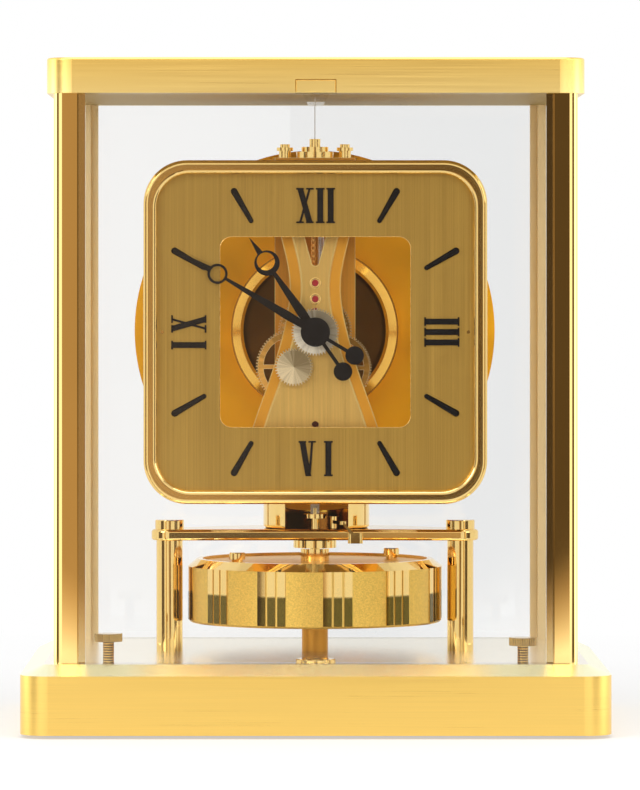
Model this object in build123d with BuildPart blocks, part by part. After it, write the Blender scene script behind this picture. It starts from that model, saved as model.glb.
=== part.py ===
import math
import os

from build123d import *

# An air-driven mantel clock: a glazed brass case on a plinth, a movement and its bellows drum on a
# bridge, and a torsion pendulum hung from a thin wire below them.
# Millimetres. +Z up, the dial faces -Y, +X to the right. The origin is on the ground under the
# middle of the plinth.

os.makedirs("parts", exist_ok=True)

# Driving dimensions of the movement and the pendulum
movement_height = 140.5
dial_size = 112.2
window_size = 67.9
drum_radius = 65.7
drum_depth = 40.0
drum_front_y = 20.0
pendulum_radius = 45.9
pendulum_face_height = 20.1

# Driving dimensions of the case: the room that it leaves round the drum, and its own members
side_room = 37.3
rear_room = 20.0
head_room = 18.0
ground_gap = 1.0
plinth_face_height = 20.6
plinth_bevel_height = 3.6
plinth_bevel_run = 8.0
plinth_corner_radius = 10.0
cap_inset = 9.0
cap_height = 12.4
cap_corner_radius = 9.0

# Shared clearances and small values
running_fit = 0.05
loose_fit = 0.1
open_gap = 0.3
overrun = 2.0
edge_break = 0.3
screw_radius = 1.5
stud_radius = 2.0

# Sizes and heights that the case is built on
case_width = 2 * (drum_radius + side_room)
case_depth = 2 * (drum_front_y + drum_depth + rear_room)
cap_width = case_width - 2 * cap_inset
cap_depth = case_depth - 2 * cap_inset
plinth_bottom = ground_gap
bevel_bottom = plinth_bottom + plinth_face_height
plinth_top = bevel_bottom + plinth_bevel_height
cap_bottom = movement_height + drum_radius + head_room
pillar_height = cap_bottom - plinth_top


def front_plane(y_back):
    """A plane at y_back whose extrusions go towards the front; its local axes are X and Z."""
    return Plane.XZ.offset(-y_back)


def save(piece, name):
    """Label a finished piece and write it under its own name."""
    piece.part.label = name
    export_step(piece.part, "parts/" + name + ".step")


# Values of the base
base_wall = 8.0
base_roof = 10.2
cavity_corner_radius = 4.0
cover_thickness = 1.2
cover_gap = 0.2
boss_radius = 7.0
foot_inset_x = 30.4
foot_inset_y = 21.0
foot_cup_radius = 5.0
foot_cup_height = 7.0
foot_travel = 5.5
thread_radius = 1.95
rear_foot_inset = 18.0
rear_foot_radius = 6.0
rear_spigot_radius = 2.5
level_inset = 21.6
level_ring_radius = 7.0
level_ring_height = 1.2
level_bore_radius = 4.4
level_pocket_radius = 5.0
level_pocket_depth = 3.0
column_x = 52.5
column_stud_depth = 8.0
post_stud_depth = 6.0
pillar_side = 8.3
pillar_inset_x = 2.5
pillar_round = 3.0
case_screw_head_radius = 3.2
case_screw_head_height = 0.6
case_screw_reach = 12.0

foot_x = case_width / 2 - foot_inset_x
foot_y = foot_inset_y - case_depth / 2
rear_foot_y = case_depth / 2 - rear_foot_inset
level_y = level_inset - case_depth / 2
cavity_width = case_width - 2 * base_wall
cavity_depth = case_depth - 2 * base_wall
cavity_top = plinth_top - base_roof
cover_top = plinth_bottom + cover_thickness
foot_boss_bottom = foot_cup_height + loose_fit
pillar_x = cap_width / 2 - pillar_inset_x - pillar_side / 2
pillar_y = cap_depth / 2 - pillar_inset_x - pillar_side / 2
foot_places = [(-foot_x, foot_y), (foot_x, foot_y)]
column_places = [(-column_x, 0), (column_x, 0)]

# Base plinth: a hollow brass block with a polished bevel round its top
with BuildPart() as base_plinth:
    with BuildSketch(Plane.XY.offset(plinth_bottom)):
        RectangleRounded(case_width, case_depth, plinth_corner_radius)
    extrude(amount=plinth_face_height)
    with BuildSketch(Plane.XY.offset(bevel_bottom)):
        RectangleRounded(case_width, case_depth, plinth_corner_radius)
    bevel_taper = math.degrees(math.atan2(plinth_bevel_run, plinth_bevel_height))
    extrude(amount=plinth_bevel_height, taper=bevel_taper)
    with BuildSketch(Plane.XY.offset(plinth_bottom)):
        RectangleRounded(cavity_width, cavity_depth, cavity_corner_radius)
    extrude(amount=cavity_top - plinth_bottom, mode=Mode.SUBTRACT)
    with BuildSketch(Plane.XY.offset(foot_boss_bottom)):
        with Locations(*foot_places):
            Circle(boss_radius)
    extrude(amount=cavity_top - foot_boss_bottom)
    with BuildSketch(Plane.XY.offset(cover_top)):
        with GridLocations(2 * pillar_x, 2 * pillar_y, 2, 2):
            Circle(boss_radius)
    extrude(amount=cavity_top - cover_top)
    with BuildSketch(Plane.XY.offset(cover_top)):
        with GridLocations(2 * pillar_x, 2 * pillar_y, 2, 2):
            Circle(screw_radius + running_fit)
    extrude(amount=plinth_top - cover_top, mode=Mode.SUBTRACT)
    with BuildSketch(Plane.XY.offset(foot_boss_bottom)):
        with Locations(*foot_places):
            Circle(thread_radius + running_fit)
    extrude(amount=plinth_top - foot_boss_bottom, mode=Mode.SUBTRACT)
    with BuildSketch(Plane.XY.offset(plinth_top)):
        with Locations(*column_places):
            Circle(stud_radius + running_fit)
    extrude(amount=-column_stud_depth - loose_fit, mode=Mode.SUBTRACT)
    with BuildSketch(Plane.XY.offset(plinth_top)):
        Circle(stud_radius + running_fit)
    extrude(amount=-post_stud_depth - loose_fit, mode=Mode.SUBTRACT)
    with BuildSketch(Plane.XY.offset(plinth_top)):
        with Locations((0, level_y)):
            Circle(level_pocket_radius)
    extrude(amount=-level_pocket_depth, mode=Mode.SUBTRACT)
save(base_plinth, "base_plinth")

# Base cover: the steel plate that closes the plinth from below
with BuildPart() as base_cover:
    with BuildSketch(Plane.XY.offset(plinth_bottom)):
        RectangleRounded(cavity_width - 2 * cover_gap, cavity_depth - 2 * cover_gap, cavity_corner_radius)
        with Locations(*foot_places):
            Circle(foot_cup_radius + open_gap, mode=Mode.SUBTRACT)
        with Locations((0, rear_foot_y)):
            Circle(rear_spigot_radius + running_fit, mode=Mode.SUBTRACT)
        with GridLocations(2 * pillar_x, 2 * pillar_y, 2, 2):
            Circle(screw_radius + running_fit, mode=Mode.SUBTRACT)
    extrude(amount=cover_thickness)
save(base_cover, "base_cover")

# Case screws: four long screws through the cover and the plinth into the corner pillars
with BuildPart() as case_screws:
    with BuildSketch(Plane.XY.offset(plinth_bottom - case_screw_head_height)):
        with GridLocations(2 * pillar_x, 2 * pillar_y, 2, 2):
            Circle(case_screw_head_radius)
    extrude(amount=case_screw_head_height)
    with BuildSketch(Plane.XY.offset(plinth_bottom)):
        with GridLocations(2 * pillar_x, 2 * pillar_y, 2, 2):
            Circle(screw_radius)
    extrude(amount=plinth_top + case_screw_reach - plinth_bottom)
save(case_screws, "case_screws")

# Rear foot: the one foot that isn't adjusted
with BuildPart() as rear_foot:
    with BuildSketch(Plane.XY):
        with Locations((0, rear_foot_y)):
            Circle(rear_foot_radius)
    extrude(amount=plinth_bottom)
    with BuildSketch(Plane.XY.offset(plinth_bottom)):
        with Locations((0, rear_foot_y)):
            Circle(rear_spigot_radius)
    extrude(amount=2 * cover_thickness)
save(rear_foot, "rear_foot")

# Values of the levelling screws
levelling_head_radius = 4.9
levelling_head_height = 2.8
levelling_knurls = 36
knurl_radius = 0.35
left_head_height = 32.4
right_head_height = 31.0
cup_floor = 2.4
levelling_sides = [("left", -foot_x, left_head_height), ("right", foot_x, right_head_height)]


# Levelling screws and the foot cups on their ends: they lift the front of the clock
for side_name, side_x, head_height in levelling_sides:
    screw_bottom = cup_floor + loose_fit + head_height - right_head_height
    with BuildPart() as foot_cup:
        with BuildSketch(Plane.XY):
            with Locations((side_x, foot_y)):
                Circle(foot_cup_radius)
        extrude(amount=foot_cup_height)
        with BuildSketch(Plane.XY.offset(cup_floor)):
            with Locations((side_x, foot_y)):
                Circle(thread_radius + running_fit)
        extrude(amount=foot_cup_height - cup_floor, mode=Mode.SUBTRACT)
    save(foot_cup, "foot_cup_" + side_name)

    with BuildPart() as levelling_screw:
        with BuildSketch(Plane.XY.offset(screw_bottom)):
            with Locations((side_x, foot_y)):
                Circle(thread_radius)
        extrude(amount=head_height - screw_bottom)
        with BuildSketch(Plane.XY.offset(head_height)):
            with Locations((side_x, foot_y)):
                Circle(levelling_head_radius)
                with PolarLocations(levelling_head_radius, levelling_knurls):
                    Circle(knurl_radius, mode=Mode.SUBTRACT)
        extrude(amount=levelling_head_height)
    save(levelling_screw, "levelling_screw_" + side_name)

# Spirit level: a brass ring round a round glass vial in the plinth's top
with BuildPart() as level_ring:
    with BuildSketch(Plane.XY.offset(plinth_top)):
        with Locations((0, level_y)):
            Circle(level_ring_radius)
            Circle(level_bore_radius, mode=Mode.SUBTRACT)
    extrude(amount=level_ring_height)
    chamfer(level_ring.faces().sort_by(Axis.Z)[-1].edges(), edge_break)
save(level_ring, "level_ring")

with BuildPart() as level_vial:
    with BuildSketch(Plane.XY.offset(plinth_top - level_pocket_depth)):
        with Locations((0, level_y)):
            Circle(level_pocket_radius - loose_fit)
    extrude(amount=level_pocket_depth)
    with BuildSketch(Plane.XY.offset(plinth_top)):
        with Locations((0, level_y)):
            Circle(level_bore_radius - loose_fit)
    extrude(amount=level_ring_height - edge_break)
save(level_vial, "level_vial")

# Corner pillars: polished posts with a rounded outer corner, from the plinth to the cap
with BuildPart() as corner_pillars:
    with BuildSketch(Plane.XY.offset(plinth_top)):
        with Locations((pillar_x, pillar_y)):
            Rectangle(pillar_side, pillar_side)
        with Locations((pillar_x, pillar_y)):
            Circle(screw_radius + running_fit, mode=Mode.SUBTRACT)
    extrude(amount=pillar_height)
    pillar_corner = corner_pillars.edges().filter_by(Axis.Z).sort_by(Axis.X)[-2:].sort_by(Axis.Y)[-1]
    fillet(pillar_corner, pillar_round)
    mirror(about=Plane.YZ)
    mirror(about=Plane.XZ)
save(corner_pillars, "corner_pillars")

# Values of the cap, the button and the latch
cap_wall = 5.0
cap_roof = 3.0
cap_edge_round = 0.8
ceiling_thickness = 1.5
button_width = 14.1
button_height = 4.5
button_depth = 4.0
button_travel = 1.0
button_stem_width = 2.2
button_riser_thickness = 0.8
button_finger_height = 0.5
latch_pivot_inset = 20.5
latch_pivot_rise = 2.6
latch_arm = 4.0
latch_arm_thickness = 1.6
latch_width = 2.4
latch_nose_inset = 15.4
latch_nose_thickness = 0.7
latch_trunnion_radius = 0.8
latch_ear_thickness = 1.5
latch_ear_depth = 3.8
latch_ear_gap = 0.2

latch_pivot_y = latch_pivot_inset - case_depth / 2
latch_nose_y = latch_nose_inset - case_depth / 2
pocket_height = button_height + 2 * loose_fit
latch_pivot_z = cap_bottom + latch_pivot_rise
latch_contact_z = latch_pivot_z + latch_arm
button_front = -cap_depth / 2
button_back = button_front + button_depth
stem_end = latch_pivot_y - latch_arm_thickness / 2 - loose_fit - running_fit
stem_top = latch_contact_z + loose_fit
finger_bottom = stem_top - button_finger_height
riser_back = button_back + button_riser_thickness
ear_x = latch_width / 2 + latch_ear_gap + latch_ear_thickness / 2
stem_slot_length = cap_wall + overrun - button_depth + open_gap
stem_slot_y = button_back - open_gap + stem_slot_length / 2
slot_front = latch_nose_y - latch_nose_thickness
slot_back = latch_pivot_y + latch_arm_thickness

# Cap: a brushed brass shell with a pocket for the release button at its front lower edge
with BuildPart() as cap:
    with BuildSketch(Plane.XY.offset(cap_bottom)):
        RectangleRounded(cap_width, cap_depth, cap_corner_radius)
    extrude(amount=cap_height)
    fillet(cap.faces().sort_by(Axis.Z)[-1].edges(), cap_edge_round)
    with BuildSketch(Plane.XY.offset(cap_bottom)):
        RectangleRounded(cap_width - 2 * cap_wall, cap_depth - 2 * cap_wall, cap_corner_radius - cap_wall)
    extrude(amount=cap_height - cap_roof, mode=Mode.SUBTRACT)
    with BuildSketch(Plane.XY.offset(cap_bottom)):
        with Locations((0, button_front)):
            Rectangle(button_width + 2 * loose_fit, 2 * (cap_wall + overrun))
    extrude(amount=pocket_height, mode=Mode.SUBTRACT)
    with BuildSketch(Plane.XY.offset(cap_bottom)):
        with Locations((0, stem_slot_y)):
            Rectangle(button_stem_width + 2 * open_gap, stem_slot_length)
    extrude(amount=stem_top + open_gap - cap_bottom, mode=Mode.SUBTRACT)
save(cap, "cap")

# Ceiling plate: closes the cap from below and carries the latch lever in two ears
with BuildPart() as ceiling_plate:
    with BuildSketch(Plane.XY.offset(cap_bottom)):
        RectangleRounded(
            cap_width - 2 * cap_wall - 2 * loose_fit,
            cap_depth - 2 * cap_wall - 2 * loose_fit,
            cap_corner_radius - cap_wall,
        )
        with Locations((0, (slot_front + slot_back) / 2)):
            Rectangle(latch_width + 2 * latch_ear_gap, slot_back - slot_front, mode=Mode.SUBTRACT)
        with Locations((0, slot_front)):
            Rectangle(button_width + 2 * loose_fit, cap_wall, mode=Mode.SUBTRACT)
        Circle(stud_radius, mode=Mode.SUBTRACT)
    extrude(amount=ceiling_thickness)
    with BuildSketch(Plane.XY.offset(cap_bottom + ceiling_thickness)):
        with Locations((-ear_x, latch_pivot_y), (ear_x, latch_pivot_y)):
            Rectangle(latch_ear_thickness, latch_ear_depth)
    extrude(amount=latch_pivot_rise)
    with BuildSketch(Plane.YZ.offset(-ear_x - latch_ear_thickness)):
        with Locations((latch_pivot_y, latch_pivot_z)):
            Circle(latch_trunnion_radius + running_fit)
    extrude(amount=2 * (ear_x + latch_ear_thickness), mode=Mode.SUBTRACT)
save(ceiling_plate, "ceiling_plate")

# Release button: a plain block with a stepped stem that reaches the latch lever's arm
with BuildPart() as release_button:
    with BuildSketch(front_plane(button_back)):
        with Locations((0, cap_bottom + loose_fit + button_height / 2)):
            Rectangle(button_width, button_height)
    extrude(amount=button_depth)
    chamfer(release_button.faces().sort_by(Axis.Y)[0].edges(), edge_break)
    with BuildSketch(front_plane(riser_back)):
        with Locations((0, (latch_pivot_z + stem_top) / 2)):
            Rectangle(button_stem_width, stem_top - latch_pivot_z)
    extrude(amount=button_riser_thickness)
    with BuildSketch(front_plane(stem_end)):
        with Locations((0, (finger_bottom + stem_top) / 2)):
            Rectangle(button_stem_width, button_finger_height)
    extrude(amount=stem_end - riser_back)
save(release_button, "release_button")

# Values of the glass
glass_thickness = 2.0
front_glass_inset = 3.2
pane_side_gap = 0.4
channel_width = 2.7
channel_depth = 3.0
side_glass_offset = 0.15
catch_top_width = 9.2
catch_bottom_width = 5.0
catch_height = 4.2
catch_thickness = 2.5
catch_notch_depth = 1.2

front_glass_front = front_glass_inset - cap_depth / 2
front_glass_width = 2 * pillar_x - pillar_side - 2 * pane_side_gap
side_glass_x = pillar_x + side_glass_offset
front_glass_back = front_glass_front + glass_thickness
front_glass_bottom = plinth_top + open_gap
front_glass_height = pillar_height - 2 * open_gap
front_glass_top = front_glass_bottom + front_glass_height
channel_x = pillar_x - pillar_side / 2 - channel_width / 2
channel_front = front_glass_back + open_gap
channel_y = -channel_front - channel_depth / 2
side_glass_depth = 2 * (pillar_y - pillar_side / 2 - loose_fit)
latch_nose_bottom = front_glass_top + 2 * loose_fit

# Latch lever: the button tips it, and its nose rises from the catch on the front pane
with BuildPart() as latch_lever:
    with BuildSketch(Plane.YZ.offset(-latch_width / 2)):
        with BuildLine():
            Polyline(
                (latch_nose_y - latch_nose_thickness / 2, latch_nose_bottom),
                (latch_nose_y + latch_nose_thickness / 2, latch_nose_bottom),
                (latch_nose_y + latch_nose_thickness / 2, latch_pivot_z - latch_trunnion_radius),
                (latch_pivot_y + latch_arm_thickness / 2, latch_pivot_z - latch_trunnion_radius),
                (latch_pivot_y + latch_arm_thickness / 2, latch_contact_z + latch_arm_thickness / 2),
                (latch_pivot_y - latch_arm_thickness / 2, latch_contact_z + latch_arm_thickness / 2),
                (latch_pivot_y - latch_arm_thickness / 2, latch_pivot_z - loose_fit),
                (latch_nose_y - latch_nose_thickness / 2, latch_pivot_z - loose_fit),
                close=True,
            )
        make_face()
    extrude(amount=latch_width)
    with BuildSketch(Plane.YZ.offset(-ear_x - latch_ear_thickness / 2)):
        with Locations((latch_pivot_y, latch_pivot_z)):
            Circle(latch_trunnion_radius)
    extrude(amount=2 * ear_x + latch_ear_thickness)
save(latch_lever, "latch_lever")

# Glass channels: four brass strips inside the pillars that the front and rear panes lie on
with BuildPart() as glass_channels:
    with BuildSketch(Plane.XY.offset(plinth_top)):
        with GridLocations(2 * channel_x, 2 * channel_y, 2, 2):
            Rectangle(channel_width, channel_depth)
    extrude(amount=pillar_height)
save(glass_channels, "glass_channels")

# Side panes, from pillar to pillar
with BuildPart() as side_glasses:
    with BuildSketch(Plane.XY.offset(plinth_top)):
        with Locations((-side_glass_x, 0), (side_glass_x, 0)):
            Rectangle(glass_thickness, side_glass_depth)
    extrude(amount=pillar_height)
save(side_glasses, "side_glasses")

# Rear pane
with BuildPart() as rear_glass:
    with BuildSketch(front_plane(-front_glass_front)):
        with Locations((0, plinth_top + pillar_height / 2)):
            Rectangle(front_glass_width, pillar_height)
    extrude(amount=glass_thickness)
save(rear_glass, "rear_glass")

# Front pane, which tilts out, and the clear catch at its top
with BuildPart() as front_glass:
    with BuildSketch(front_plane(front_glass_back)):
        with Locations((0, front_glass_bottom + front_glass_height / 2)):
            Rectangle(front_glass_width, front_glass_height)
    extrude(amount=glass_thickness)
save(front_glass, "front_glass")

with BuildPart() as glass_catch:
    with BuildSketch(front_plane(front_glass_back + catch_thickness)):
        with BuildLine():
            Polyline(
                (-catch_top_width / 2, front_glass_top),
                (catch_top_width / 2, front_glass_top),
                (catch_bottom_width / 2, front_glass_top - catch_height),
                (-catch_bottom_width / 2, front_glass_top - catch_height),
                close=True,
            )
        make_face()
    extrude(amount=catch_thickness)
    with BuildSketch(Plane.XY.offset(front_glass_top)):
        with Locations((0, latch_nose_y)):
            Rectangle(latch_width + 2 * open_gap, latch_nose_thickness + 2 * loose_fit)
    extrude(amount=-catch_notch_depth, mode=Mode.SUBTRACT)
save(glass_catch, "glass_catch")

# Values of the bridge that carries the movement
column_radius = 4.75
column_height = 39.9
bridge_thickness = 4.0
bridge_end_radius = 6.5
bridge_front_y = -4.6
bridge_rear_y = 34.0
bridge_round = 1.2
bridge_under_round = 0.9
nut_radius = 5.2
nut_height = 3.3
nut_bore_depth = 2.4
collar_radius = 7.8
collar_height = 2.7
collar_bore_radius = 2.2
bush_radius = 2.6
housing_x = 0.6
housing_y = 11.4
housing_radius = 19.3
housing_wall = 2.0
housing_round = 1.3
housing_height = 22.9
housing_window_height = 14.9
housing_window_left = -10.8
housing_window_right = 12.0
saddle_gap = 0.2

bridge_bottom = plinth_top + column_height
bridge_top = bridge_bottom + bridge_thickness
housing_top = bridge_top + housing_height

# Columns: two turned posts with studs into the plinth and through the bridge
with BuildPart() as columns:
    with BuildSketch(Plane.XY.offset(plinth_top)):
        with Locations(*column_places):
            Circle(column_radius)
    extrude(amount=column_height)
    with BuildSketch(Plane.XY.offset(plinth_top - column_stud_depth)):
        with Locations(*column_places):
            Circle(stud_radius)
    extrude(amount=column_stud_depth)
    with BuildSketch(Plane.XY.offset(bridge_bottom)):
        with Locations(*column_places):
            Circle(stud_radius)
    extrude(amount=bridge_thickness + nut_bore_depth - loose_fit)
save(columns, "columns")

# Column nuts: the caps that hold the bridge down on the columns
with BuildPart() as column_nuts:
    with BuildSketch(Plane.XY.offset(bridge_top)):
        with Locations(*column_places):
            Circle(nut_radius)
    extrude(amount=nut_height)
    chamfer(column_nuts.faces().group_by(Axis.Z)[-1].edges(), edge_break)
    with BuildSketch(Plane.XY.offset(bridge_top)):
        with Locations(*column_places):
            Circle(stud_radius + running_fit)
    extrude(amount=nut_bore_depth, mode=Mode.SUBTRACT)
save(column_nuts, "column_nuts")

# Bridge plate: round ends on the columns, a nearly straight front edge and a bowed rear edge
with BuildPart() as bridge_plate:
    end_front = (column_x, -bridge_end_radius)
    end_side = (column_x + bridge_end_radius, 0)
    end_rear = (column_x, bridge_end_radius)
    with BuildSketch(Plane.XY.offset(bridge_bottom)):
        with BuildLine():
            ThreePointArc((-end_front[0], end_front[1]), (0, bridge_front_y), end_front)
            ThreePointArc(end_front, end_side, end_rear)
            ThreePointArc(end_rear, (0, bridge_rear_y), (-end_rear[0], end_rear[1]))
            ThreePointArc((-end_rear[0], end_rear[1]), (-end_side[0], 0), (-end_front[0], end_front[1]))
        make_face()
        with Locations(*column_places):
            Circle(stud_radius + running_fit, mode=Mode.SUBTRACT)
        Circle(bush_radius, mode=Mode.SUBTRACT)
    extrude(amount=bridge_thickness)
    fillet(bridge_plate.faces().sort_by(Axis.Z)[-1].outer_wire().edges(), bridge_round)
    fillet(bridge_plate.faces().sort_by(Axis.Z)[0].outer_wire().edges(), bridge_under_round)
save(bridge_plate, "bridge_plate")

# Bridge collar: a flanged bush under the bridge that the pendulum staff passes through
with BuildPart() as bridge_collar:
    with BuildSketch(Plane.XY.offset(bridge_bottom - collar_height)):
        Circle(collar_radius)
    extrude(amount=collar_height)
    with BuildSketch(Plane.XY.offset(bridge_bottom)):
        Circle(bush_radius)
    extrude(amount=bridge_thickness)
    with BuildSketch(Plane.XY.offset(bridge_bottom - collar_height)):
        Circle(collar_bore_radius)
    extrude(amount=collar_height + bridge_thickness, mode=Mode.SUBTRACT)
save(bridge_collar, "bridge_collar")

# Escapement housing: a polished tube with a front window; its rear rim is a saddle for the drum
with BuildPart() as escapement_housing:
    with BuildSketch(Plane.XY.offset(bridge_top)):
        with Locations((housing_x, housing_y)):
            Circle(housing_radius)
            Circle(housing_radius - housing_wall, mode=Mode.SUBTRACT)
    extrude(amount=housing_height)
    fillet(escapement_housing.faces().sort_by(Axis.Z)[0].outer_wire().edges(), housing_round)
    with BuildSketch(Plane.XY.offset(bridge_top)):
        with Locations(((housing_window_left + housing_window_right) / 2, housing_y - housing_radius)):
            Rectangle(housing_window_right - housing_window_left, housing_radius)
    extrude(amount=housing_window_height, mode=Mode.SUBTRACT)
    with BuildSketch(Plane.XZ.offset(-drum_front_y + saddle_gap)):
        with Locations((0, movement_height)):
            Circle(drum_radius + saddle_gap)
    extrude(amount=-drum_depth, mode=Mode.SUBTRACT)
save(escapement_housing, "escapement_housing")

# Values of the stop lever
stop_pivot_x = 7.0
stop_pivot_y = 3.0
stop_pivot_radius = 2.2
stop_blade_rise = 1.9
stop_blade_thickness = 1.2
stop_blade_width = 2.4
stop_bend_x = 10.0
stop_bend_y = -8.4
stop_tail_x = 14.5
stop_tail_drop = 5.6
stop_tail_thickness = 2.0
stop_finger_length = 5.4
stop_finger_width = 2.2
stop_finger_height = 2.6

stop_blade_bottom = bridge_top + stop_blade_rise
stop_tail_z = stop_blade_bottom - stop_tail_drop
stop_middle_x = (stop_pivot_x + stop_bend_x) / 2
stop_middle_y = (stop_pivot_y + stop_bend_y) / 2
stop_blade_length = math.hypot(stop_bend_x - stop_pivot_x, stop_bend_y - stop_pivot_y)
stop_blade_angle = math.degrees(math.atan2(stop_bend_y - stop_pivot_y, stop_bend_x - stop_pivot_x))

# Stop lever: a bent blade on a low post; swung to the left it reaches for the pendulum staff
with BuildPart() as stop_lever:
    with BuildSketch(Plane.XY.offset(bridge_top + loose_fit)):
        with Locations((stop_pivot_x, stop_pivot_y)):
            Circle(stop_pivot_radius)
    extrude(amount=stop_blade_rise + stop_blade_thickness + bridge_round)
    with BuildSketch(Plane.XY.offset(stop_blade_bottom)):
        with Locations(Location((stop_middle_x, stop_middle_y), stop_blade_angle)):
            SlotCenterToCenter(stop_blade_length, stop_blade_width)
    extrude(amount=stop_blade_thickness)
    with BuildSketch(front_plane(stop_bend_y + stop_blade_width / 2)):
        with BuildLine():
            Polyline(
                (stop_bend_x, stop_blade_bottom),
                (stop_bend_x, stop_blade_bottom + stop_blade_thickness),
                (stop_tail_x, stop_tail_z + stop_tail_thickness),
                (stop_tail_x, stop_tail_z),
                close=True,
            )
        make_face()
    extrude(amount=stop_blade_width)
    with BuildSketch(Plane.XY.offset(stop_tail_z - stop_blade_thickness)):
        with Locations((stop_tail_x, stop_bend_y)):
            SlotOverall(stop_finger_length, stop_finger_width)
    extrude(amount=stop_finger_height + stop_blade_thickness)
save(stop_lever, "stop_lever")

# Values of the pendulum
post_radius = 4.7
post_height = 10.3
post_bore_radius = 1.9
post_bore_depth = 8.0
guide_pin_radius = 1.5
guide_pin_reach = 7.0
wheel_bevel_run = 3.4
wheel_bevel_height = 2.7
wheel_top_land = 2.0
wheel_recess = 1.0
wheel_web_thickness = 4.0
wheel_rim_thickness = 8.0
wheel_foot_chamfer = 1.0
wheel_boss_radius = 9.0
wheel_groups = 12
wheel_group_turn = -80.0
strip_angle = 3.7
strip_gap_angle = 1.0
panel_angle = 16.8
panel_depth = 0.3
hub_radius = 5.2
staff_radius = 1.8
hub_gap = 0.4
staff_collar_radius = 3.0
roller_radius = 4.2
roller_margin = 0.2
roller_thickness = 1.5
roller_rise = 3.9
impulse_pin_radius = 0.25
impulse_pin_height = 2.4
ferrule_height = 3.0
poise_radius = 32.2
poise_turn = 210.0
poise_head_radius = 2.85
poise_head_height = 2.5
poise_neck_radius = 2.0
poise_neck_height = 1.3
wire_radius = 0.15
wire_bore_radius = 0.3

wheel_bottom = plinth_top + post_height + open_gap
wheel_bevel_bottom = wheel_bottom + pendulum_face_height
wheel_top = wheel_bevel_bottom + wheel_bevel_height
web_top = wheel_top - wheel_recess
web_bottom = web_top - wheel_web_thickness
wheel_top_radius = pendulum_radius - wheel_bevel_run
wheel_recess_radius = wheel_top_radius - wheel_top_land
wheel_inner_radius = pendulum_radius - wheel_rim_thickness
staff_bottom = plinth_top + post_height - guide_pin_reach
hub_top = bridge_bottom - collar_height - hub_gap
roller_bottom = bridge_top + roller_rise
roller_top = roller_bottom + roller_thickness
staff_top = roller_top + ferrule_height

# Guide post: stands on the plinth under the wheel and keeps the hanging staff from straying
with BuildPart() as guide_post:
    with BuildSketch(Plane.XY.offset(plinth_top)):
        Circle(post_radius)
    extrude(amount=post_height)
    with BuildSketch(Plane.XY.offset(plinth_top)):
        Circle(stud_radius)
    extrude(amount=-post_stud_depth)
    with BuildSketch(Plane.XY.offset(plinth_top + post_height)):
        Circle(post_bore_radius)
    extrude(amount=-post_bore_depth, mode=Mode.SUBTRACT)
save(guide_post, "guide_post")

# Pendulum wheel: a heavy rim on a web; frosted panels alternate with three polished strips
with BuildPart() as pendulum_wheel:
    with BuildSketch(Plane.XZ):
        with BuildLine():
            Polyline(
                (staff_radius + running_fit, web_bottom - wheel_web_thickness),
                (wheel_boss_radius, web_bottom - wheel_web_thickness),
                (wheel_boss_radius, web_bottom),
                (wheel_inner_radius, web_bottom),
                (wheel_inner_radius, wheel_bottom),
                (pendulum_radius - wheel_foot_chamfer, wheel_bottom),
                (pendulum_radius, wheel_bottom + wheel_foot_chamfer),
                (pendulum_radius, wheel_bevel_bottom),
                (wheel_top_radius, wheel_top),
                (wheel_recess_radius, wheel_top),
                (wheel_recess_radius, web_top),
                (staff_radius + running_fit, web_top),
                close=True,
            )
        make_face()
    revolve(axis=Axis.Z)
    with BuildSketch(Plane.XY.offset(wheel_bottom)):
        first_line = wheel_group_turn + 1.5 * strip_angle + strip_gap_angle
        cuts = [(first_line, panel_angle)]
        cuts += [(wheel_group_turn + side * (strip_angle + strip_gap_angle) / 2 - strip_gap_angle / 2,
                  strip_gap_angle) for side in (-1, 1)]
        for group in range(wheel_groups):
            for start, sweep_angle in cuts:
                begin = math.radians(start + group * 360 / wheel_groups)
                finish = begin + math.radians(sweep_angle)
                bearings = (begin, (begin + finish) / 2, finish)
                inside = pendulum_radius - panel_depth
                outside = pendulum_radius + overrun
                inner_arc = [(inside * math.cos(a), inside * math.sin(a)) for a in bearings]
                outer_arc = [(outside * math.cos(a), outside * math.sin(a)) for a in bearings]
                with BuildLine():
                    ThreePointArc(*inner_arc)
                    Line(inner_arc[-1], outer_arc[-1])
                    ThreePointArc(*outer_arc)
                    Line(outer_arc[0], inner_arc[0])
                make_face()
    extrude(amount=pendulum_face_height, mode=Mode.SUBTRACT)
save(pendulum_wheel, "pendulum_wheel")

# Poising screws: two headed screws on the web that true the wheel
with BuildPart() as poising_screws:
    with BuildSketch(Plane.XY.offset(web_top)):
        with PolarLocations(poise_radius, 2, start_angle=poise_turn):
            Circle(poise_neck_radius)
    extrude(amount=poise_neck_height)
    with BuildSketch(Plane.XY.offset(web_top + poise_neck_height)):
        with PolarLocations(poise_radius, 2, start_angle=poise_turn):
            Circle(poise_head_radius)
    extrude(amount=poise_head_height)
    chamfer(poising_screws.faces().group_by(Axis.Z)[-1].edges(), edge_break)
save(poising_screws, "poising_screws")

# Pendulum staff: guide pin, hub and ferrule turned in one piece
with BuildPart() as pendulum_staff:
    with BuildSketch(Plane.XZ):
        with BuildLine():
            Polyline(
                (0, staff_bottom),
                (guide_pin_radius, staff_bottom),
                (guide_pin_radius, wheel_bottom),
                (staff_radius, wheel_bottom),
                (staff_radius, web_top),
                (hub_radius, web_top),
                (hub_radius, hub_top),
                (staff_radius, hub_top),
                (staff_radius, roller_bottom - running_fit),
                (staff_collar_radius, roller_bottom - running_fit),
                (staff_collar_radius, roller_bottom),
                (guide_pin_radius, roller_bottom),
                (guide_pin_radius, staff_top),
                (wire_bore_radius, staff_top),
                (wire_bore_radius, roller_top),
                (0, roller_top),
                close=True,
            )
        make_face()
    revolve(axis=Axis.Z)
save(pendulum_staff, "pendulum_staff")

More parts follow.
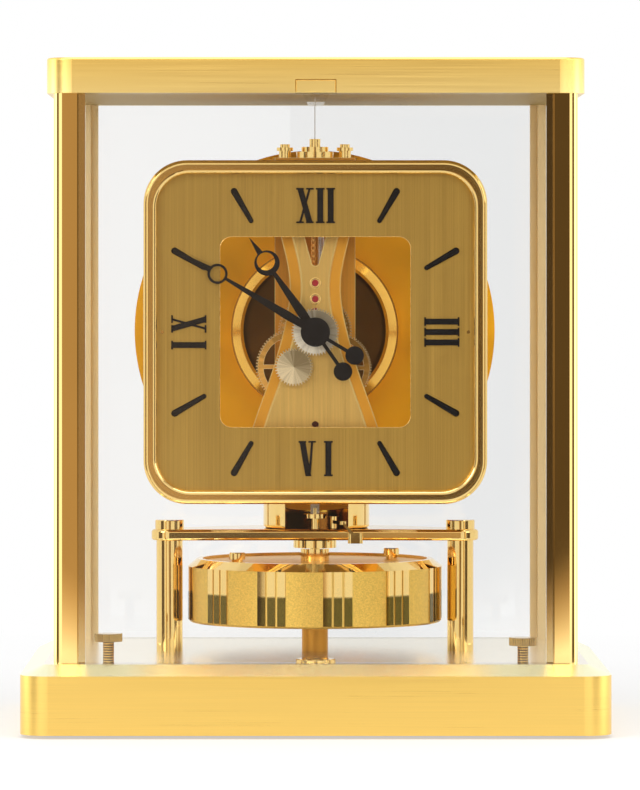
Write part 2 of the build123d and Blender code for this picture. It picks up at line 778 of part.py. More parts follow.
# Impulse roller: a small disc on the staff with an upright pin
with BuildPart() as impulse_roller:
    with BuildSketch(Plane.XY.offset(roller_bottom)):
        Circle(roller_radius)
        Circle(guide_pin_radius, mode=Mode.SUBTRACT)
    extrude(amount=roller_thickness)
    with BuildSketch(Plane.XY.offset(roller_bottom)):
        with Locations((0, -roller_radius + roller_margin + impulse_pin_radius)):
            Circle(impulse_pin_radius)
    extrude(amount=roller_thickness + impulse_pin_height)
save(impulse_roller, "impulse_roller")

# Values of the suspension
tube_radius = 2.75
tube_bore_radius = 1.6
tube_gap = 1.0
block_width = 30.0
block_bottom = 197.0
block_height = 6.0
disc_radius = 6.75
disc_height = 2.2
upper_disc_radius = 4.95
upper_disc_height = 1.8
knob_radius = 2.0
knob_height = 2.9
clamp_x = 10.8
clamp_shank_radius = 2.2
clamp_shank_height = 2.6
clamp_flange_radius = 3.0
clamp_flange_height = 1.2
clamp_knob_radius = 1.8
clamp_knob_height = 1.2
clamp_thread_radius = 1.2
clamp_thread_depth = 4.0
clamp_slot_width = 0.6
clamp_slot_depth = 0.7

# Values of the movement plates and the planes that the wheels run in, counted back from the dial
bezel_front_y = -36.5
dial_front_y = -32.0
dial_thickness = 1.6
front_plate_y = -24.2
plate_thickness = 1.0
plate_step = 0.8
rear_plate_y = -6.6
rear_plate_thickness = 1.8
rear_plate_width = 29.0

block_top = block_bottom + block_height
rear_plate_front_y = rear_plate_y - rear_plate_thickness
front_plate_front_y = front_plate_y - plate_thickness - plate_step

# Wire tube: the brass tube that shields the suspension wire
with BuildPart() as wire_tube:
    with BuildSketch(Plane.XY.offset(staff_top + tube_gap)):
        Circle(tube_radius)
        Circle(tube_bore_radius, mode=Mode.SUBTRACT)
    extrude(amount=block_bottom - staff_top - tube_gap)
save(wire_tube, "wire_tube")

# Suspension wire: one thin wire from the cap down to the staff
with BuildPart() as suspension_wire:
    with BuildSketch(Plane.XY.offset(roller_top + open_gap)):
        Circle(wire_radius)
    extrude(amount=cap_bottom + ceiling_thickness - roller_top - open_gap)
    with BuildSketch(Plane.XY.offset(cap_bottom)):
        Circle(stud_radius)
    extrude(amount=ceiling_thickness)
save(suspension_wire, "suspension_wire")

# Suspension block: the bracket on the drum's front that the head stands on
with BuildPart() as suspension_block:
    with BuildSketch(Plane.XY.offset(block_bottom)):
        with Locations((0, (rear_plate_y + drum_front_y) / 2)):
            Rectangle(block_width, drum_front_y - rear_plate_y)
        Circle(tube_bore_radius, mode=Mode.SUBTRACT)
    extrude(amount=block_height)
    with BuildSketch(Plane.XY.offset(block_top)):
        with Locations((-clamp_x, 0), (clamp_x, 0)):
            Circle(clamp_thread_radius + running_fit)
    extrude(amount=-clamp_thread_depth - loose_fit, mode=Mode.SUBTRACT)
save(suspension_block, "suspension_block")

# Suspension collet: two stepped discs and a knob that grip the wire
with BuildPart() as suspension_collet:
    with BuildSketch(Plane.XZ):
        with BuildLine():
            Polyline(
                (wire_bore_radius, block_top),
                (disc_radius, block_top),
                (disc_radius, block_top + disc_height),
                (upper_disc_radius, block_top + disc_height),
                (upper_disc_radius, block_top + disc_height + upper_disc_height),
                (knob_radius, block_top + disc_height + upper_disc_height),
                (knob_radius, block_top + disc_height + upper_disc_height + knob_height),
                (wire_bore_radius, block_top + disc_height + upper_disc_height + knob_height),
                close=True,
            )
        make_face()
    revolve(axis=Axis.Z)
save(suspension_collet, "suspension_collet")

# Suspension screws: two slotted thumb screws beside the collet
with BuildPart() as suspension_screws:
    stack = (
        (clamp_thread_radius, block_top - clamp_thread_depth, clamp_thread_depth),
        (clamp_shank_radius, block_top, clamp_shank_height),
        (clamp_flange_radius, block_top + clamp_shank_height, clamp_flange_height),
        (clamp_knob_radius, block_top + clamp_shank_height + clamp_flange_height, clamp_knob_height),
    )
    for radius, bottom, height in stack:
        with BuildSketch(Plane.XY.offset(bottom)):
            with Locations((-clamp_x, 0), (clamp_x, 0)):
                Circle(radius)
        extrude(amount=height)
    with BuildSketch(Plane.XY.offset(stack[-1][1] + clamp_knob_height)):
        with Locations((-clamp_x, 0), (clamp_x, 0)):
            Rectangle(2 * clamp_knob_radius + overrun, clamp_slot_width)
    extrude(amount=-clamp_slot_depth, mode=Mode.SUBTRACT)
save(suspension_screws, "suspension_screws")

# Values of the bellows drum
drum_wall = 1.5
drum_mouth_radius = 26.0
ring_inner_radius = 27.0
ring_outer_radius = 30.5
ring_depth = 4.5
ring_lip = 0.6
ring_inner_depth = 1.8
bellows_radius = 56.0
bellows_fold_depth = 6.0
bellows_folds = 6
bellows_front_gap = 10.0
end_plate_radius = 25.0
end_plate_thickness = 2.5
end_plate_gap = 0.5
drum_back_y = drum_front_y + drum_depth
bellows_front_y = drum_front_y + bellows_front_gap
bellows_back_y = drum_back_y - drum_wall

# Drum shell: a round can, open at the front
with BuildPart() as drum_shell:
    with BuildSketch(front_plane(drum_back_y)):
        with Locations((0, movement_height)):
            Circle(drum_radius)
    extrude(amount=drum_depth - drum_wall)
    with BuildSketch(front_plane(bellows_back_y)):
        with Locations((0, movement_height)):
            Circle(drum_radius - drum_wall)
    extrude(amount=drum_depth - drum_wall, mode=Mode.SUBTRACT)
    fillet(drum_shell.edges().filter_by(GeomType.CIRCLE).sort_by(Axis.Y)[-1], drum_wall / 2)
save(drum_shell, "drum_shell")

# Drum front: the amber disc that closes the can
with BuildPart() as drum_front:
    with BuildSketch(front_plane(drum_front_y + drum_wall)):
        with Locations((0, movement_height)):
            Circle(drum_radius)
            Circle(drum_mouth_radius, mode=Mode.SUBTRACT)
    extrude(amount=drum_wall)
save(drum_front, "drum_front")

# Bellows ring: the raised polished collar round the drum's mouth, coned inward
with BuildPart() as bellows_ring:
    with BuildSketch(Plane.XY.offset(movement_height)):
        with BuildLine():
            Polyline(
                (ring_inner_radius, drum_front_y),
                (ring_outer_radius, drum_front_y),
                (ring_outer_radius, drum_front_y - ring_depth),
                (ring_outer_radius - ring_lip, drum_front_y - ring_depth),
                (ring_inner_radius, drum_front_y - ring_inner_depth),
                close=True,
            )
        make_face()
    revolve(axis=Axis((0, 0, movement_height), (0, 1, 0)))
save(bellows_ring, "bellows_ring")

# Bellows: the sealed gas capsule, folded like a concertina
with BuildPart() as bellows:
    fold_pitch = (bellows_back_y - bellows_front_y) / bellows_folds
    fold_points = [(0, bellows_front_y), (bellows_radius - bellows_fold_depth, bellows_front_y)]
    for fold in range(bellows_folds):
        fold_points += [
            (bellows_radius, bellows_front_y + (fold + 0.5) * fold_pitch),
            (bellows_radius - bellows_fold_depth, bellows_front_y + (fold + 1) * fold_pitch),
        ]
    fold_points += [(0, bellows_back_y)]
    with BuildSketch(Plane.XY.offset(movement_height)):
        with BuildLine():
            Polyline(*fold_points, close=True)
        make_face()
    revolve(axis=Axis((0, 0, movement_height), (0, 1, 0)))
save(bellows, "bellows")

# Bellows end plate: the disc that the swelling capsule pushes towards the movement
with BuildPart() as bellows_plate:
    with BuildSketch(front_plane(bellows_front_y - end_plate_gap)):
        with Locations((0, movement_height)):
            Circle(end_plate_radius)
    extrude(amount=end_plate_thickness)
save(bellows_plate, "bellows_plate")

# Values of the train: modules, tooth counts, and where the arbors stand about the hands' arbor
hour_teeth = 48
change_teeth = 38
change_module = 0.34
transfer_teeth = 76
cannon_teeth = 8
power_teeth = 80
minute_pinion_teeth = 16
power_module = 0.31
barrel_teeth = 80
power_pinion_teeth = 12
minute_teeth = 48
third_teeth = 24
escape_pinion_teeth = 12
going_module = 0.47
escape_teeth = 15
transfer_bearing = -121.4
power_bearing = -60.2
down_bearing = -90.0
wheel_thickness = 1.0
wheel_rim_width = 2.4
wheel_hub_radius = 2.6
spoke_width = 1.5
spoke_pairs = 2
arbor_radius = 0.8
pivot_radius = 0.5
change_y = -27.6
transfer_y = -22.4
power_y = -20.6
going_y = -18.6
escape_y = -17.0
barrel_y = -14.8
hour_pipe_radius = 2.9
hour_pipe_bore = 1.6
minute_arbor_radius = 1.5
minute_arbor_front = -36.2
barrel_radius = 11.5
barrel_length = 4.8
barrel_arbor_radius = 1.8
escape_tip_radius = 6.2
escape_root_radius = 4.9
pallet_drop = 33.0
pallet_reach = 4.6
pallet_span = 3.2
fork_width = 1.6
fork_thickness = 0.8
fork_y = -4.6
fork_slot_width = 1.0
fork_slot_depth = 2.0
addendum_share = 1.0
dedendum_share = 1.25
root_width_share = 0.60
tip_width_share = 0.24

change_distance = change_module * (hour_teeth + change_teeth) / 2
transfer_module = 2 * change_distance / (transfer_teeth + cannon_teeth)
power_distance = power_module * (power_teeth + minute_pinion_teeth) / 2
barrel_module = 2 * power_distance / (barrel_teeth + power_pinion_teeth)
third_distance = going_module * (minute_teeth + third_teeth) / 2
escape_distance = third_distance + going_module * (third_teeth + escape_pinion_teeth) / 2


def arbor_place(distance, bearing):
    """The X and Z of an arbor that stands at a distance and bearing from the hands' arbor."""
    angle = math.radians(bearing)
    return distance * math.cos(angle), movement_height + distance * math.sin(angle)


def gear_outline(teeth, module, turn):
    """Corner points of a gear with straight-sided teeth, one tooth centred at the angle turn."""
    pitch_radius = module * teeth / 2
    tip_radius = pitch_radius + addendum_share * module
    root_radius = pitch_radius - dedendum_share * module
    pitch_angle = 2 * math.pi / teeth
    points = []
    for tooth in range(teeth):
        centre = math.radians(turn) + tooth * pitch_angle
        for radius, share in (
            (root_radius, -root_width_share / 2),
            (tip_radius, -tip_width_share / 2),
            (tip_radius, tip_width_share / 2),
            (root_radius, root_width_share / 2),
        ):
            angle = centre + share * pitch_angle
            points.append((radius * math.cos(angle), radius * math.sin(angle)))
    return points


def gear_sketch(teeth, module, turn):
    """Draw a gear in the current sketch, about the local origin."""
    with BuildLine() as outline:
        Polyline(*gear_outline(teeth, module, turn), close=True)
    make_face(outline.edges())


def wheel_plane(y_back, centre):
    """A plane at y_back about the X and Z of centre, whose extrusions go towards the front."""
    return Plane((centre[0], y_back, centre[1]), x_dir=(1, 0, 0), z_dir=(0, -1, 0))


def disc(radius, y_back, length, centre):
    """Extrude a round piece of an arbor forward from y_back in the current part."""
    with BuildSketch(front_plane(y_back)) as profile:
        with Locations(centre):
            Circle(radius)
    extrude(profile.sketch, amount=length)


def gear(teeth, module, turn, y_back, length, centre):
    """Extrude a gear forward from y_back in the current part, about the X and Z of centre."""
    with BuildSketch(wheel_plane(y_back, centre)) as profile:
        gear_sketch(teeth, module, turn)
    extrude(profile.sketch, amount=length)


def wheel_windows(pitch_radius, y_back, centre):
    """Cut the openings between a wheel's rim, hub and spokes in the current part."""
    with BuildSketch(wheel_plane(y_back, centre)) as profile:
        Circle(pitch_radius - wheel_rim_width)
        Circle(wheel_hub_radius, mode=Mode.SUBTRACT)
        for pair in range(spoke_pairs):
            Rectangle(2 * pitch_radius, spoke_width, rotation=180 * pair / spoke_pairs, mode=Mode.SUBTRACT)
    extrude(profile.sketch, amount=wheel_thickness, mode=Mode.SUBTRACT)


hub_place = (0, movement_height)
transfer_place = arbor_place(change_distance, transfer_bearing)
power_place = arbor_place(power_distance, power_bearing)
third_place = arbor_place(third_distance, down_bearing)
escape_place = arbor_place(escape_distance, down_bearing)
pallet_place = arbor_place(pallet_drop, down_bearing)


def gap_turn(teeth, bearing):
    """The turn that puts a tooth gap, not a tooth, at a bearing."""
    return bearing + 180 / teeth


# Minute arbor: the arbor of the hands, with its going wheel, driven pinion and cannon pinion
with BuildPart() as minute_arbor:
    disc(arbor_radius, going_y, going_y - front_plate_y, hub_place)
    disc(minute_arbor_radius, front_plate_y, front_plate_y - minute_arbor_front, hub_place)
    disc(pivot_radius, barrel_y + wheel_thickness, barrel_y + wheel_thickness - going_y, hub_place)
    gear(minute_teeth, going_module, down_bearing, going_y, wheel_thickness, hub_place)
    gear(minute_pinion_teeth, power_module, power_bearing, power_y, wheel_thickness, hub_place)
    gear(cannon_teeth, transfer_module, transfer_bearing, transfer_y, wheel_thickness, hub_place)
save(minute_arbor, "minute_arbor")

# Power wheel: carries the barrel's drive to the minute arbor
with BuildPart() as power_wheel:
    power_turn = gap_turn(power_teeth, power_bearing + 180)
    gear(power_teeth, power_module, power_turn, power_y, wheel_thickness, power_place)
    wheel_windows(power_module * power_teeth / 2, power_y, power_place)
    disc(arbor_radius, barrel_y, barrel_y - power_y, power_place)
    gear(power_pinion_teeth, barrel_module, power_bearing + 180, barrel_y, wheel_thickness, power_place)
    disc(pivot_radius, rear_plate_y, rear_plate_y - barrel_y, power_place)
    disc(pivot_radius, power_y, power_y - front_plate_y + plate_thickness, power_place)
save(power_wheel, "power_wheel")

# Mainspring barrel: great wheel and spring case on an arbor that pivots in the rear plate
with BuildPart() as mainspring_barrel:
    barrel_turn = gap_turn(barrel_teeth, power_bearing)
    gear(barrel_teeth, barrel_module, barrel_turn, barrel_y, wheel_thickness, hub_place)
    disc(barrel_radius, barrel_y + barrel_length, barrel_length, hub_place)
    disc(barrel_arbor_radius, rear_plate_y, barrel_length, hub_place)
    with BuildSketch(front_plane(barrel_y + wheel_thickness + open_gap)):
        with Locations(hub_place):
            Circle(pivot_radius + running_fit)
    extrude(amount=wheel_thickness + open_gap + overrun, mode=Mode.SUBTRACT)
save(mainspring_barrel, "mainspring_barrel")

# Third wheel: turns on a stud of the rear plate between the going wheel and the escape pinion
third_stud_radius = 0.7
third_bore_radius = third_stud_radius + running_fit
with BuildPart() as third_wheel:
    third_turn = gap_turn(third_teeth, down_bearing + 180)
    gear(third_teeth, going_module, third_turn, going_y, wheel_thickness, third_place)
    with BuildSketch(front_plane(going_y)):
        with Locations(third_place):
            Circle(third_bore_radius)
    extrude(amount=wheel_thickness, mode=Mode.SUBTRACT)
save(third_wheel, "third_wheel")

# Escape wheel: fifteen pointed teeth, its pinion and its pivots
escape_tooth_shares = ((0, escape_root_radius), (0.5, escape_tip_radius), (0.6, escape_root_radius))
with BuildPart() as escape_wheel:
    gear(escape_pinion_teeth, going_module, down_bearing + 180, going_y, wheel_thickness, escape_place)
    disc(arbor_radius, escape_y, escape_y - going_y, escape_place)
    disc(pivot_radius, rear_plate_y, rear_plate_y - escape_y, escape_place)
    disc(pivot_radius, going_y, going_y - front_plate_y + plate_thickness, escape_place)
    with BuildSketch(wheel_plane(escape_y, escape_place)):
        with BuildLine():
            escape_points = []
            for tooth in range(escape_teeth):
                for share, radius in escape_tooth_shares:
                    angle = 2 * math.pi * (tooth + share) / escape_teeth
                    escape_points.append((radius * math.cos(angle), radius * math.sin(angle)))
            Polyline(*escape_points, close=True)
        make_face()
    extrude(amount=fork_thickness)
save(escape_wheel, "escape_wheel")

# Pallet fork: two pallets over the escape wheel, and a long arm behind the rear plate with a slot
fork_bottom = roller_top + open_gap
with BuildPart() as pallet_fork:
    disc(pivot_radius, fork_y, fork_y - front_plate_y + plate_thickness, pallet_place)
    with BuildSketch(wheel_plane(escape_y, pallet_place)):
        with BuildLine():
            Polyline(
                (-pallet_reach, pallet_span),
                (-pallet_reach - fork_width / 2, pallet_span),
                (-pallet_reach, -fork_width / 2),
                (pallet_reach, -fork_width / 2),
                (pallet_reach + fork_width / 2, pallet_span),
                (pallet_reach, pallet_span),
                (pallet_reach - fork_width / 2, fork_width / 2),
                (-pallet_reach + fork_width / 2, fork_width / 2),
                close=True,
            )
        make_face()
    extrude(amount=fork_thickness)
    with BuildSketch(front_plane(fork_y)):
        with Locations((0, (pallet_place[1] + fork_bottom) / 2)):
            Rectangle(fork_width, pallet_place[1] - fork_bottom)
        with Locations((0, fork_bottom + fork_slot_depth)):
            Rectangle(2 * fork_width, 2 * fork_slot_depth)
        with Locations((0, fork_bottom)):
            Rectangle(fork_slot_width, 2 * fork_slot_depth, mode=Mode.SUBTRACT)
    extrude(amount=fork_thickness)
save(pallet_fork, "pallet_fork")

# Transfer wheels: the minute and change wheels of the motion work on one arbor
with BuildPart() as transfer_wheels:
    gear(
        transfer_teeth, transfer_module, gap_turn(transfer_teeth, transfer_bearing + 180),
        transfer_y, wheel_thickness, transfer_place,
    )
    wheel_windows(transfer_module * transfer_teeth / 2, transfer_y, transfer_place)
    disc(arbor_radius, transfer_y, transfer_y - change_y, transfer_place)
    disc(pivot_radius, rear_plate_y, rear_plate_y - transfer_y, transfer_place)
    gear(change_teeth, change_module, transfer_bearing + 180, change_y, wheel_thickness, transfer_place)
save(transfer_wheels, "transfer_wheels")

# Values of the hands: each points to its own place between ten and eleven o'clock
hour_hand_y = -33.4
minute_hand_y = -34.8
hand_thickness = 0.8
hour_turn = 325.0
minute_turn = 300.8
hand_hub_radius = 5.2
hand_nut_radius = 2.2
hand_tail_disc_radius = 3.3
hand_tail_width = 1.3
hour_hand_reach = 41.2
hour_hand_tail = 17.1
hour_leaf_root_width = 2.4
hour_leaf_width = 3.4
hour_neck_width = 0.9
hour_ring_place = 29.9
hour_ring_radius = 4.5
hour_ring_bore = 3.2
hour_ring_shift = 0.75
hour_spear_width = 3.5
minute_hand_reach = 53.5
minute_hand_tail = 16.2
minute_leaf_root_width = 2.2
minute_leaf_width = 3.1
minute_neck_width = 0.8
minute_ring_place = 40.4
minute_ring_radius = 3.6
minute_ring_bore = 2.7
minute_spear_width = 2.9
leaf_widest_share = 0.22

# Hour wheel: its pipe carries the hour hand round the minute arbor
with BuildPart() as hour_wheel:
    hour_wheel_turn = gap_turn(hour_teeth, transfer_bearing)
    gear(hour_teeth, change_module, hour_wheel_turn, change_y, wheel_thickness, hub_place)
    disc(hour_pipe_radius, change_y, change_y - hour_hand_y, hub_place)
    disc(hour_pipe_radius - open_gap, hour_hand_y, hand_thickness, hub_place)
    with BuildSketch(front_plane(change_y)):
        with Locations(hub_place):
            Circle(hour_pipe_bore)
    extrude(amount=change_y - minute_hand_y, mode=Mode.SUBTRACT)
save(hour_wheel, "hour_wheel")


def hand_leaf(reach, ring_place, root_width, leaf_width, neck_width, spear_width):
    """Draw a hand's leaf and spear, pointing along local Y, from the hub to its reach."""
    leaf_widest = reach * leaf_widest_share
    with BuildLine() as outline:
        Polyline(
            (-root_width / 2, 0),
            (-leaf_width / 2, leaf_widest),
            (-neck_width / 2, ring_place),
            (neck_width / 2, ring_place),
            (leaf_width / 2, leaf_widest),
            (root_width / 2, 0),
            close=True,
        )
    make_face(outline.edges())
    with BuildLine() as outline:
        Polyline((-spear_width / 2, ring_place), (0, reach), (spear_width / 2, ring_place), close=True)
    make_face(outline.edges())


def hand_rings(ring_place, ring_radius, ring_bore, ring_shift, tail, hub_bore):
    """Draw a hand's open ring, its tail with a disc, and its bored hub."""
    with Locations((0, ring_place)):
        Circle(ring_radius)
    with Locations((0, ring_place + ring_shift)):
        Circle(ring_bore, mode=Mode.SUBTRACT)
    with Locations((0, -tail / 2)):
        Rectangle(hand_tail_width, tail)
    with Locations((0, -tail)):
        Circle(hand_tail_disc_radius)
    Circle(hand_hub_radius)
    Circle(hub_bore, mode=Mode.SUBTRACT)


def hand_plane(y_back, clock_angle):
    """A plane on the dial's axis whose local Y points to a clock angle, clockwise from twelve."""
    angle = math.radians(clock_angle)
    across = (math.cos(angle), 0, -math.sin(angle))
    return Plane((0, y_back, movement_height), x_dir=across, z_dir=(0, -1, 0))


# Hour hand: a leaf, an open ring whose bore stands off-centre, a spear and a tail
with BuildPart() as hour_hand:
    with BuildSketch(hand_plane(hour_hand_y, hour_turn)):
        hand_leaf(
            hour_hand_reach, hour_ring_place, hour_leaf_root_width,
            hour_leaf_width, hour_neck_width, hour_spear_width,
        )
        hand_rings(
            hour_ring_place, hour_ring_radius, hour_ring_bore,
            hour_ring_shift, hour_hand_tail, hour_pipe_radius - open_gap,
        )
    extrude(amount=hand_thickness)
save(hour_hand, "hour_hand")

# Minute hand: the same parts, longer and finer
with BuildPart() as minute_hand:
    with BuildSketch(hand_plane(minute_hand_y, minute_turn)):
        hand_leaf(
            minute_hand_reach, minute_ring_place, minute_leaf_root_width,
            minute_leaf_width, minute_neck_width, minute_spear_width,
        )
        hand_rings(
            minute_ring_place, minute_ring_radius, minute_ring_bore,
            0, minute_hand_tail, minute_arbor_radius,
        )
    extrude(amount=hand_thickness)
save(minute_hand, "minute_hand")

# Hand nut: holds the minute hand on its arbor
with BuildPart() as hand_nut:
    disc(hand_nut_radius, minute_hand_y - hand_thickness, hand_nut_radius / 2, hub_place)
    with BuildSketch(front_plane(minute_hand_y - hand_thickness)):
        with Locations(hub_place):
            Circle(minute_arbor_radius)
    extrude(amount=minute_hand_y - hand_thickness - minute_arbor_front, mode=Mode.SUBTRACT)
save(hand_nut, "hand_nut")

# Values of the movement frame; the outline shares give the front plate's half width and its height
# above the hands, as shares of the two sizes before them
frame_post_radius = 2.0
upper_post_x = 10.0
upper_post_rise = 48.0
lower_post_x = 11.0
lower_post_drop = 44.0
plate_half_width = 25.0
plate_top_rise = 56.0
plate_outline_shares = [
    (0.620, 1.000),
    (0.492, 0.607),
    (0.364, 0.311),
    (0.456, 0.000),
    (0.656, -0.304),
    (0.892, -0.607),
    (1.000, -0.859),
]
plate_step_inset = 4.2
plate_slot_top_half = 7.0
plate_slot_waist_half = 3.85
plate_slot_waist_rise = 34.0
plate_slot_foot_half = 1.35
plate_slot_foot_rise = 24.9
pivot_hole_radius = pivot_radius + running_fit
post_places = [
    (-upper_post_x, movement_height + upper_post_rise),
    (upper_post_x, movement_height + upper_post_rise),
    (-lower_post_x, movement_height - lower_post_drop),
    (lower_post_x, movement_height - lower_post_drop),
]

# Rear plate: an upright strip from the housing to the suspension block, with the third wheel's stud
with BuildPart() as rear_plate:
    with BuildSketch(front_plane(rear_plate_y)):
        with Locations((0, (housing_top + block_top) / 2)):
            Rectangle(rear_plate_width, block_top - housing_top)
        with Locations(transfer_place, power_place, escape_place, pallet_place):
            Circle(pivot_hole_radius, mode=Mode.SUBTRACT)
        with Locations(hub_place):
            Circle(barrel_arbor_radius + running_fit, mode=Mode.SUBTRACT)
    extrude(amount=rear_plate_thickness)
    disc(third_stud_radius, rear_plate_front_y, rear_plate_front_y - going_y + wheel_thickness, third_place)
save(rear_plate, "rear_plate")


def waisted_outline(inset):
    """Draw the front plate's waisted outline, drawn in by inset on both sides."""
    right = [
        (plate_half_width * width_share - inset, movement_height + plate_top_rise * height_share)
        for width_share, height_share in plate_outline_shares
    ]
    left = [(-x, z) for x, z in reversed(right)]
    with BuildLine() as outline:
        Spline(*right)
        Line(right[-1], left[0])
        Spline(*left)
        Line(left[-1], right[0])
    make_face(outline.edges())


# Front plate: an hourglass plate with a raised inner field and a tapered slot at its top
with BuildPart() as front_plate:
    with BuildSketch(front_plane(front_plate_y)):
        waisted_outline(0)
    extrude(amount=plate_thickness)
    with BuildSketch(front_plane(front_plate_y - plate_thickness)):
        waisted_outline(plate_step_inset)
    extrude(amount=plate_step)
    with BuildSketch(front_plane(front_plate_y)):
        slot_side = [
            (plate_slot_top_half, movement_height + plate_top_rise + overrun),
            (plate_slot_waist_half, movement_height + plate_slot_waist_rise),
            (plate_slot_foot_half, movement_height + plate_slot_foot_rise),
        ]
        with BuildLine():
            Polyline(*slot_side, *[(-x, z) for x, z in reversed(slot_side)], close=True)
        make_face()
        with Locations((0, movement_height + plate_slot_foot_rise)):
            Circle(plate_slot_foot_half)
        with Locations(hub_place):
            Circle(minute_arbor_radius + running_fit)
        with Locations(transfer_place):
            Circle(arbor_radius + running_fit)
    extrude(amount=plate_thickness + plate_step, mode=Mode.SUBTRACT)
    with BuildSketch(front_plane(front_plate_y)):
        with Locations(power_place, escape_place, pallet_place):
            Circle(pivot_hole_radius)
    extrude(amount=plate_thickness, mode=Mode.SUBTRACT)
save(front_plate, "front_plate")

# Jewels: ruby bearings in gold settings on the front plate
jewel_radius = 1.2
jewel_height = 0.5
jewel_rises = [17.4, 11.7, 7.4]
jewel_places = [(0, movement_height + rise) for rise in jewel_rises] + [pallet_place]
with BuildPart() as jewels:
    with BuildSketch(front_plane(front_plate_front_y)):
        with Locations(*jewel_places):
            Circle(jewel_radius)
    extrude(amount=jewel_height)
    chamfer(jewels.faces().group_by(Axis.Y)[0].edges(), edge_break / 2)
save(jewels, "jewels")

# Values of the dial and its bezel
bezel_width = 122.0
bezel_corner_radius = 15.5
bezel_back_y = -27.0
bezel_groove_width = 1.4
bezel_groove_depth = 1.0
bezel_round = 1.6
dial_corner_radius = 11.7
window_corner_radius = 4.3
dial_seat = 1.1
dial_post_x = 54.4
dial_post_radius = 2.5
dial_pin_radius = 0.6
dial_pin_height = 0.3
bezel_wall = (bezel_width - dial_size) / 2

dial_back_y = dial_front_y + dial_thickness
dial_plate_size = dial_size + 2 * dial_seat
dial_plate_corner = dial_corner_radius + dial_seat
dial_post_places = [(-dial_post_x, movement_height), (dial_post_x, movement_height)]

# Dial plate: a square brass plate with round corners and a square window
with BuildPart() as dial_plate:
    with BuildSketch(front_plane(dial_back_y)):
        with Locations(hub_place):
            RectangleRounded(dial_plate_size, dial_plate_size, dial_plate_corner)
            RectangleRounded(window_size, window_size, window_corner_radius, mode=Mode.SUBTRACT)
        with Locations(*dial_post_places):
            Circle(dial_pin_radius + running_fit, mode=Mode.SUBTRACT)
    extrude(amount=dial_thickness)
save(dial_plate, "dial_plate")

# Movement posts: eight posts space the plates and the drum, and two more reach the dial, where
# their riveted ends show
with BuildPart() as movement_posts:
    with BuildSketch(front_plane(rear_plate_front_y)):
        with Locations(*post_places):
            Circle(frame_post_radius)
    extrude(amount=rear_plate_front_y - front_plate_y)
    with BuildSketch(front_plane(drum_front_y)):
        with Locations(*post_places):
            Circle(frame_post_radius)
    extrude(amount=drum_front_y - rear_plate_y)
    with BuildSketch(front_plane(drum_front_y)):
        with Locations(*dial_post_places):
            Circle(dial_post_radius)
    extrude(amount=drum_front_y - dial_back_y)
    with BuildSketch(front_plane(dial_back_y)):
        with Locations(*dial_post_places):
            Circle(dial_pin_radius)
    extrude(amount=dial_thickness + dial_pin_height)
save(movement_posts, "movement_posts")

# Bezel: two polished bands with a groove between them, round the dial
with BuildPart() as bezel:
    with BuildSketch(front_plane(bezel_back_y)):
        with Locations(hub_place):
            RectangleRounded(bezel_width, bezel_width, bezel_corner_radius)
            RectangleRounded(dial_size, dial_size, dial_corner_radius, mode=Mode.SUBTRACT)
    extrude(amount=bezel_back_y - bezel_front_y)
    front_edges = bezel.faces().sort_by(Axis.Y)[0].edges()
    fillet(front_edges, bezel_round)
    with BuildSketch(front_plane(bezel_front_y + bezel_groove_depth)):
        with Locations(hub_place):
            groove_outer = dial_size + bezel_wall + bezel_groove_width
            groove_inner = dial_size + bezel_wall - bezel_groove_width
            groove_corner = dial_corner_radius + bezel_wall / 2
            outer_corner = groove_corner + bezel_groove_width / 2
            inner_corner = groove_corner - bezel_groove_width / 2
            RectangleRounded(groove_outer, groove_outer, outer_corner)
            RectangleRounded(groove_inner, groove_inner, inner_corner, mode=Mode.SUBTRACT)
    extrude(amount=bezel_groove_depth + overrun, mode=Mode.SUBTRACT)
    with BuildSketch(front_plane(bezel_back_y)):
        with Locations(hub_place):
            seat_size = dial_plate_size + 2 * running_fit
            RectangleRounded(seat_size, seat_size, dial_plate_corner + running_fit)
    extrude(amount=bezel_back_y - dial_front_y, mode=Mode.SUBTRACT)
save(bezel, "bezel")

# Values of the numerals and the hour markers
numeral_inner = 38.7
numeral_outer = 51.2
numeral_thickness = 0.6
bar_width = 2.1
thin_width = 0.8
serif_width = 3.1
serif_height = 0.6
wide_letter = 6.6
bar_pitch = 3.7
marker_inner = 44.8
marker_outer = 58.9
marker_inner_width = 1.7
marker_outer_width = 2.4
marker_thickness = 1.0
marker_bevel = 0.45
hour_angle = 30
letter_height = numeral_outer - numeral_inner


def draw_bar(x):
    """Draw an upright bar with a serif at each end."""
    with Locations((x, 0)):
        Rectangle(bar_width, letter_height)
    for end in (-1, 1):
        with Locations((x, end * (letter_height - serif_height) / 2)):
            Rectangle(serif_width, serif_height)


def draw_stroke(foot_x, head_x, width, foot_z):
    """Draw a slanting stroke, level at both ends, from foot_z to the top of the letter."""
    with BuildLine() as outline:
        Polyline(
            (foot_x - width / 2, foot_z),
            (foot_x + width / 2, foot_z),
            (head_x + width / 2, letter_height / 2),
            (head_x - width / 2, letter_height / 2),
            close=True,
        )
    make_face(outline.edges())


def draw_serifs(x, ends):
    """Draw the two serifs of a wide letter at each of its ends."""
    inset = (wide_letter - serif_width) / 2
    for end in ends:
        for side in (-1, 1):
            with Locations((x + side * inset, end * (letter_height - serif_height) / 2)):
                Rectangle(serif_width - thin_width / 2, serif_height)


def draw_cross(x):
    """Draw the letter of two crossed strokes, the thick one falling to the right."""
    reach = (wide_letter - serif_width) / 2
    draw_stroke(x + reach, x - reach, bar_width, -letter_height / 2)
    draw_stroke(x - reach, x + reach, thin_width, -letter_height / 2)
    draw_serifs(x, (-1, 1))


